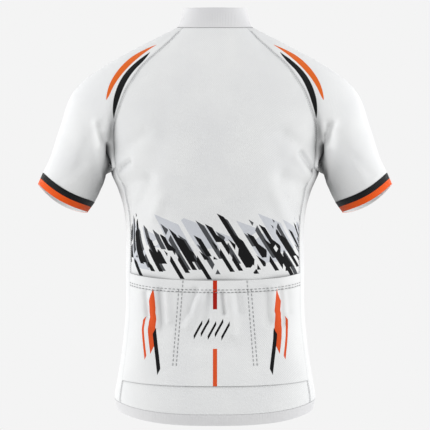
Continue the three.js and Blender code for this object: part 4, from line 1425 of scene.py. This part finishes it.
# Twin rows of a pocket divider: distance from the middle at the mouth and at the foot, and the top
DIVIDER_LINES = ((60.0, 74.0, 449.0), (54.0, 68.0, 434.0))


def side_copies(line):
    return [line, line * FLIP]


def level_line(sizes, level, reach, lift):
    """A line round the pockets at one level."""
    angle = np.linspace(-reach, reach, MOUTH_LINE_POINTS)
    point, normal = pocket_surface(sizes, np.full_like(angle, level), angle)
    return point + normal * lift


def pale_stitch_paths(sizes):
    """Fine stitches on both sides of the raglan seams and the side seams."""
    lift = sizes.thread / 4
    frames = {name: wrapped(values.T).T for name, values in SEAM_FRAMES.items()}
    start = ARM_STITCH_START * STEPS
    paths = []
    for reach in (-sizes.stitch_offset, sizes.stitch_offset):
        line = frames["point"] + frames["outward"] * reach + frames["normal"] * lift
        back = line[start:BACK_RAGLAN_STEPS * STEPS - NECK_STITCH_GAP]
        front = line[(BACK_RAGLAN_STEPS + SLEEVE_NECK_STEPS) * STEPS + NECK_STITCH_GAP:-start]
        for part in (back, front):
            paths += side_copies(part)
    levels = np.linspace(HEM_SEAM - SIDE_STITCH_FOOT, SIDE_STITCH_TOP, SIDE_LINE_POINTS)
    for shift in (-SIDE_STITCH_SHIFT, SIDE_STITCH_SHIFT):
        angle = np.full_like(levels, SIDE_SEAM + shift)
        line = body(levels, angle) + normal_of(body, levels, angle) * lift
        paths += side_copies(line)
    return paths


def grey_stitch_paths(sizes):
    """Twin rows along the pocket mouths and the dividers."""
    lift = sizes.thread / 3
    reach = SIDE_SEAM - MOUTH_END
    paths = [level_line(sizes, POCKET_BAND_FOOT - above, reach, lift) for above in MOUTH_ROWS]
    for top_across, foot_across, top in DIVIDER_LINES:
        levels = np.linspace(top, POCKET_FOOT - DIVIDER_STITCH_FOOT, DIVIDER_LINE_POINTS)
        share = (levels - POCKET_TOP) / (POCKET_FOOT - POCKET_TOP)
        angle = angle_across(levels, mix(top_across, foot_across, share))
        for sign in (1, -1):
            point, normal = pocket_surface(sizes, levels, angle * sign)
            paths.append(point + normal * lift)
    return paths


def length_property(name, description, default):
    return bpy.props.FloatProperty(name=name, description=description, default=default)


def colour_property(name, description, default):
    return bpy.props.StringProperty(name=name, description=description, default=default)


class JerseySizes(bpy.types.PropertyGroup):
    """Sizes of the finish, in millimetres."""

    cloth_wall: length_property("Cloth", "Thickness of the knit", 1.2)
    collar_wall: length_property("Collar", "Thickness of the collar", 1.6)
    band_wall: length_property("Band", "Thickness of the elastic bands", 2.0)
    band_proud: length_property("Band height", "How far a band stands above the knit", 0.5)
    tape_wall: length_property("Tape", "Thickness of the zip tape", 1.0)
    seam_dip: length_property("Seam depth", "How far the thread draws the cloth in at a seam", 0.6)
    seam_reach: length_property("Seam reach", "Width of the hollow beside a seam", 2.4)
    thread: length_property("Thread", "Thickness of the thread", 0.85)
    stitch: length_property("Stitch", "Length of one stitch", 2.6)
    stitch_pitch: length_property("Stitch pitch", "Length from one stitch to the next", 3.6)
    pocket_stitch: length_property("Pocket stitch", "Length of one stitch of the pockets", 5.2)
    pocket_pitch: length_property("Pocket pitch", "Length from one pocket stitch to the next", 7.0)
    stitch_offset: length_property("Stitch offset", "Distance of the stitches from their seam", 2.0)
    tooth_pitch: length_property("Tooth pitch", "Length from one turn of the coil to the next", 1.6)


class JerseyColours(bpy.types.PropertyGroup):
    """Colours of the finish, as sRGB hex values."""

    white: colour_property("White", "Undyed knit", "#eceded")
    white_shade: colour_property("White shade", "Where the knit is a little denser", "#e6e7e8")
    mesh_hole: colour_property("Mesh hole", "Between the stitches of the knit", "#9c9ea0")
    rib: colour_property("Rib", "Rib knit of the collar and the hem", "#e0e0e1")
    rib_shade: colour_property("Rib shade", "Rib knit where it is denser", "#dadadc")
    black: colour_property("Black", "Black ink and elastic", "#0b0c0e")
    print_grey: colour_property("Dark grey", "Second ink of the back print", "#4b4d50")
    print_pale: colour_property("Pale grey", "Third ink of the back print", "#cdd0d6")
    orange: colour_property("Orange", "Stripe over the pocket band", "#c22c06")
    red: colour_property("Red orange", "Stripe below the pocket band", "#a21404")
    deep_orange: colour_property("Deep orange", "Foot of the stripe, and slanted bars", "#dc5424")
    bright_orange: colour_property("Bright orange", "Outer crescents", "#e0661f")
    cuff_orange: colour_property("Cuff orange", "Lower stripe of the cuffs", "#e8560c")
    tape: colour_property("Zip", "Zip tape and coil", "#e4e3e0")
    metal: colour_property("Nickel", "Slider and pull", "#b4b6b8")
    metal_dark: colour_property("Worn nickel", "Slider and pull where worn", "#8f9194")
    thread_pale: colour_property("Pale thread", "Seams of the panels", "#dcdde0")
    thread_grey: colour_property("Grey thread", "Seams of the pockets", "#3f4246")


SIDES = (("left", False), ("right", True))


class JerseyStep:
    """Runs one step with the sizes and colours of the scene."""

    def execute(self, context):
        self.make(context.scene.jersey_sizes, context.scene.jersey_colours)
        return {"FINISHED"}


class JERSEY_OT_body(JerseyStep, bpy.types.Operator):
    """Makes the back panel with its print and both fronts."""

    bl_idname = "jersey.body"
    bl_label = "Back and fronts"

    def make(self, sizes, colours):
        wear_cloth(make_back(sizes, colours), "knit_white", "back_panel")
        plain = knit_material("micro-mesh knit", colours)
        for side, on_right in SIDES:
            front = make_front(sizes, f"front_{side}_cloth", plain, on_right)
            wear_cloth(front, "knit_white", f"front_{side}")


class JERSEY_OT_sleeves(JerseyStep, bpy.types.Operator):
    """Makes both raglan sleeves with their crescents, and the cuff bands."""

    bl_idname = "jersey.sleeves"
    bl_label = "Sleeves and cuffs"

    def make(self, sizes, colours):
        knit = knit_material("sleeve knit", colours, sleeve_print)
        elastic = cuff_material(colours)
        for side, on_right in SIDES:
            sleeve = make_sleeve(sizes, f"sleeve_{side}_cloth", knit, on_right)
            wear_cloth(sleeve, "knit_white", f"sleeve_{side}")
            cuff = make_cuff(sizes, f"cuff_{side}_cloth", elastic, on_right)
            wear_cloth(cuff, "cuff_elastic", f"cuff_band_{side}")


class JERSEY_OT_bands(JerseyStep, bpy.types.Operator):
    """Makes the stand collar and the gripper hem."""

    bl_idname = "jersey.bands"
    bl_label = "Collar and hem"

    def make(self, sizes, colours):
        rib = rib_material(colours)
        wear_cloth(make_collar(sizes, rib), "rib_white", "collar")
        wear_cloth(make_hem(sizes, rib), "rib_white", "hem_band")


class JERSEY_OT_pockets(JerseyStep, bpy.types.Operator):
    """Makes the pocket panel and the elastic band along its mouths."""

    bl_idname = "jersey.pockets"
    bl_label = "Pockets"

    def make(self, sizes, colours):
        knit = knit_material("printed pocket knit", colours, pocket_print)
        panel = make_pocket(sizes, "pocket_cloth", POCKET_FOOT, POCKET_BAND_FOOT, POCKET_ROWS, knit)
        wear_cloth(panel, "knit_white", "pocket_panel")
        band = make_pocket(sizes, "pocket_band_cloth", POCKET_BAND_FOOT, POCKET_TOP, BAND_ROWS, knit)
        wear_cloth(band, "rib_white", "pocket_band")


class JERSEY_OT_zip(JerseyStep, bpy.types.Operator):
    """Makes the zip's tape, coil, slider and pull tab."""

    bl_idname = "jersey.zip"
    bl_label = "Zip"

    def make(self, sizes, colours):
        wear_cloth(make_tape(sizes, tape_material(colours)), "zip_tape", "front_zip")
        wear(make_teeth(sizes, coil_material(colours)), "zip_tape")
        plate = zinc_material(colours)
        slider = bevelled_copy("zip_slider", "slider_casting", 0.25, plate)
        wear(slider, "zip_metal", "zip_slider")
        pull = bevelled_copy("zip_pull", "pull_casting", 0.3, plate)
        wear(pull, "zip_metal", "zip_pull", body_name="pull")


class JERSEY_OT_stitching(JerseyStep, bpy.types.Operator):
    """Lays the pale stitches of the seams and the grey stitches of the pockets."""

    bl_idname = "jersey.stitching"
    bl_label = "Stitching"

    def make(self, sizes, colours):
        pale = thread_material("pale polyester thread", colours.thread_pale, colours.white)
        grey = thread_material("grey polyester thread", colours.thread_grey, colours.mesh_hole)
        for name, paths, thread, length, pitch in (
            ("seam_stitches", pale_stitch_paths(sizes), pale, sizes.stitch, sizes.stitch_pitch),
            ("pocket_stitches", grey_stitch_paths(sizes), grey, sizes.pocket_stitch, sizes.pocket_pitch),
        ):
            size = (sizes.thread, sizes.thread, length)
            wear(lay_beads(name, paths, pitch, size, *STITCH_FACETS, thread), "rib_white")


FLOOR_LEVEL = -1.42
FLOOR_SIDES = 64
FLOOR_RADIUS = 5.0
FLOOR_FADE = 1.6
WORLD_GREY = "#f4f4f4"
FILL_LIGHT = 0.52
SOFTBOX_SIZE = (1.2, 2.2)

# Lamps of each side: place and power in watts
SOFTBOXES = (
    ("side_softbox", (2.2, 0.75, 0.45), 40),
    ("front_softbox", (1.7, -1.8, 0.5), 19),
)
SOFTBOX_AIM = Vector((0, 0, -0.3))


def make_floor():
    mesh = bpy.data.meshes.new("studio_floor")
    turns = np.arange(FLOOR_SIDES) / FLOOR_SIDES * 2 * math.pi
    level = np.full(FLOOR_SIDES, FLOOR_LEVEL)
    ring = np.stack([np.cos(turns) * FLOOR_RADIUS, np.sin(turns) * FLOOR_RADIUS, level], 1)
    mesh.from_pydata(ring.tolist(), [], [list(range(FLOOR_SIDES))])
    floor = placed("studio_floor", mesh, floor_material())


def seated(name, data, place, facing):
    """A lamp or a camera at its place, turned to face one way."""
    seat = linked(name, data)
    seat.location = place
    seat.rotation_mode = "QUATERNION"
    seat.rotation_quaternion = facing.to_track_quat("-Z", "Y")
    return seat


def make_light(name, place, power):
    lamp = bpy.data.lights.new(name, "AREA")
    lamp.shape = "RECTANGLE"
    lamp.size, lamp.size_y = SOFTBOX_SIZE
    lamp.energy = power
    seated(name, lamp, place, SOFTBOX_AIM - Vector(place))


def make_camera():
    camera = bpy.data.cameras.new("photo_camera")
    camera.sensor_width = SENSOR
    camera.lens = SENSOR * CAMERA_DISTANCE / PICTURE_WIDTH
    place = (0, CAMERA_DISTANCE, CAMERA_LEVEL)
    bpy.context.scene.camera = seated("photo_camera", camera, place, Vector((0, -1, 0)))


class JERSEY_OT_stage(bpy.types.Operator):
    """Sets up the pale floor, the soft light and the camera."""

    bl_idname = "jersey.stage"
    bl_label = "Stage"

    def execute(self, context):
        make_floor()
        world = bpy.data.worlds.new("studio")
        context.scene.world = world
        world.use_nodes = True
        tree = world.node_tree
        tree.nodes.clear()
        seen = node(tree, "ShaderNodeLightPath").outputs["Is Camera Ray"]
        strength = ranged(tree, seen, 0.0, 1.0, FILL_LIGHT, 1.0)
        glow = node(tree, "ShaderNodeBackground", {"Color": linear(WORLD_GREY), "Strength": strength})
        node(tree, "ShaderNodeOutputWorld", {"Surface": glow})
        for side in (1, -1):
            for name, (across, depth, height), power in SOFTBOXES:
                make_light(f"{name}_{side}", (side * across, depth, height), power)
        context.scene.view_settings.view_transform = "Standard"
        make_camera()
        return {"FINISHED"}


class JERSEY_PT_panel(bpy.types.Panel):
    """Lists the steps that make the jersey, with its sizes and colours."""

    bl_idname = "JERSEY_PT_panel"
    bl_label = "Jersey"
    bl_space_type = "VIEW_3D"
    bl_region_type = "UI"
    bl_category = "Jersey"

    def draw(self, context):
        for step in STEPS_IN_ORDER:
            self.layout.operator(step.bl_idname)
        for group in (context.scene.jersey_sizes, context.scene.jersey_colours):
            for name in group.__annotations__:
                self.layout.prop(group, name)


STEPS_IN_ORDER = (
    JERSEY_OT_stage,
    JERSEY_OT_body,
    JERSEY_OT_sleeves,
    JERSEY_OT_bands,
    JERSEY_OT_pockets,
    JERSEY_OT_zip,
    JERSEY_OT_stitching,
)
CLASSES = (JerseySizes, JerseyColours, *STEPS_IN_ORDER, JERSEY_PT_panel)


def register():
    for each in CLASSES:
        bpy.utils.register_class(each)
    bpy.types.Scene.jersey_sizes = bpy.props.PointerProperty(type=JerseySizes)
    bpy.types.Scene.jersey_colours = bpy.props.PointerProperty(type=JerseyColours)


def unregister():
    del bpy.types.Scene.jersey_colours
    del bpy.types.Scene.jersey_sizes
    for each in reversed(CLASSES):
        bpy.utils.unregister_class(each)


def main():
    register()
    for step in STEPS_IN_ORDER:
        group, name = step.bl_idname.split(".")
        getattr(getattr(bpy.ops, group), name)()


if __name__ == "__main__":
    main()
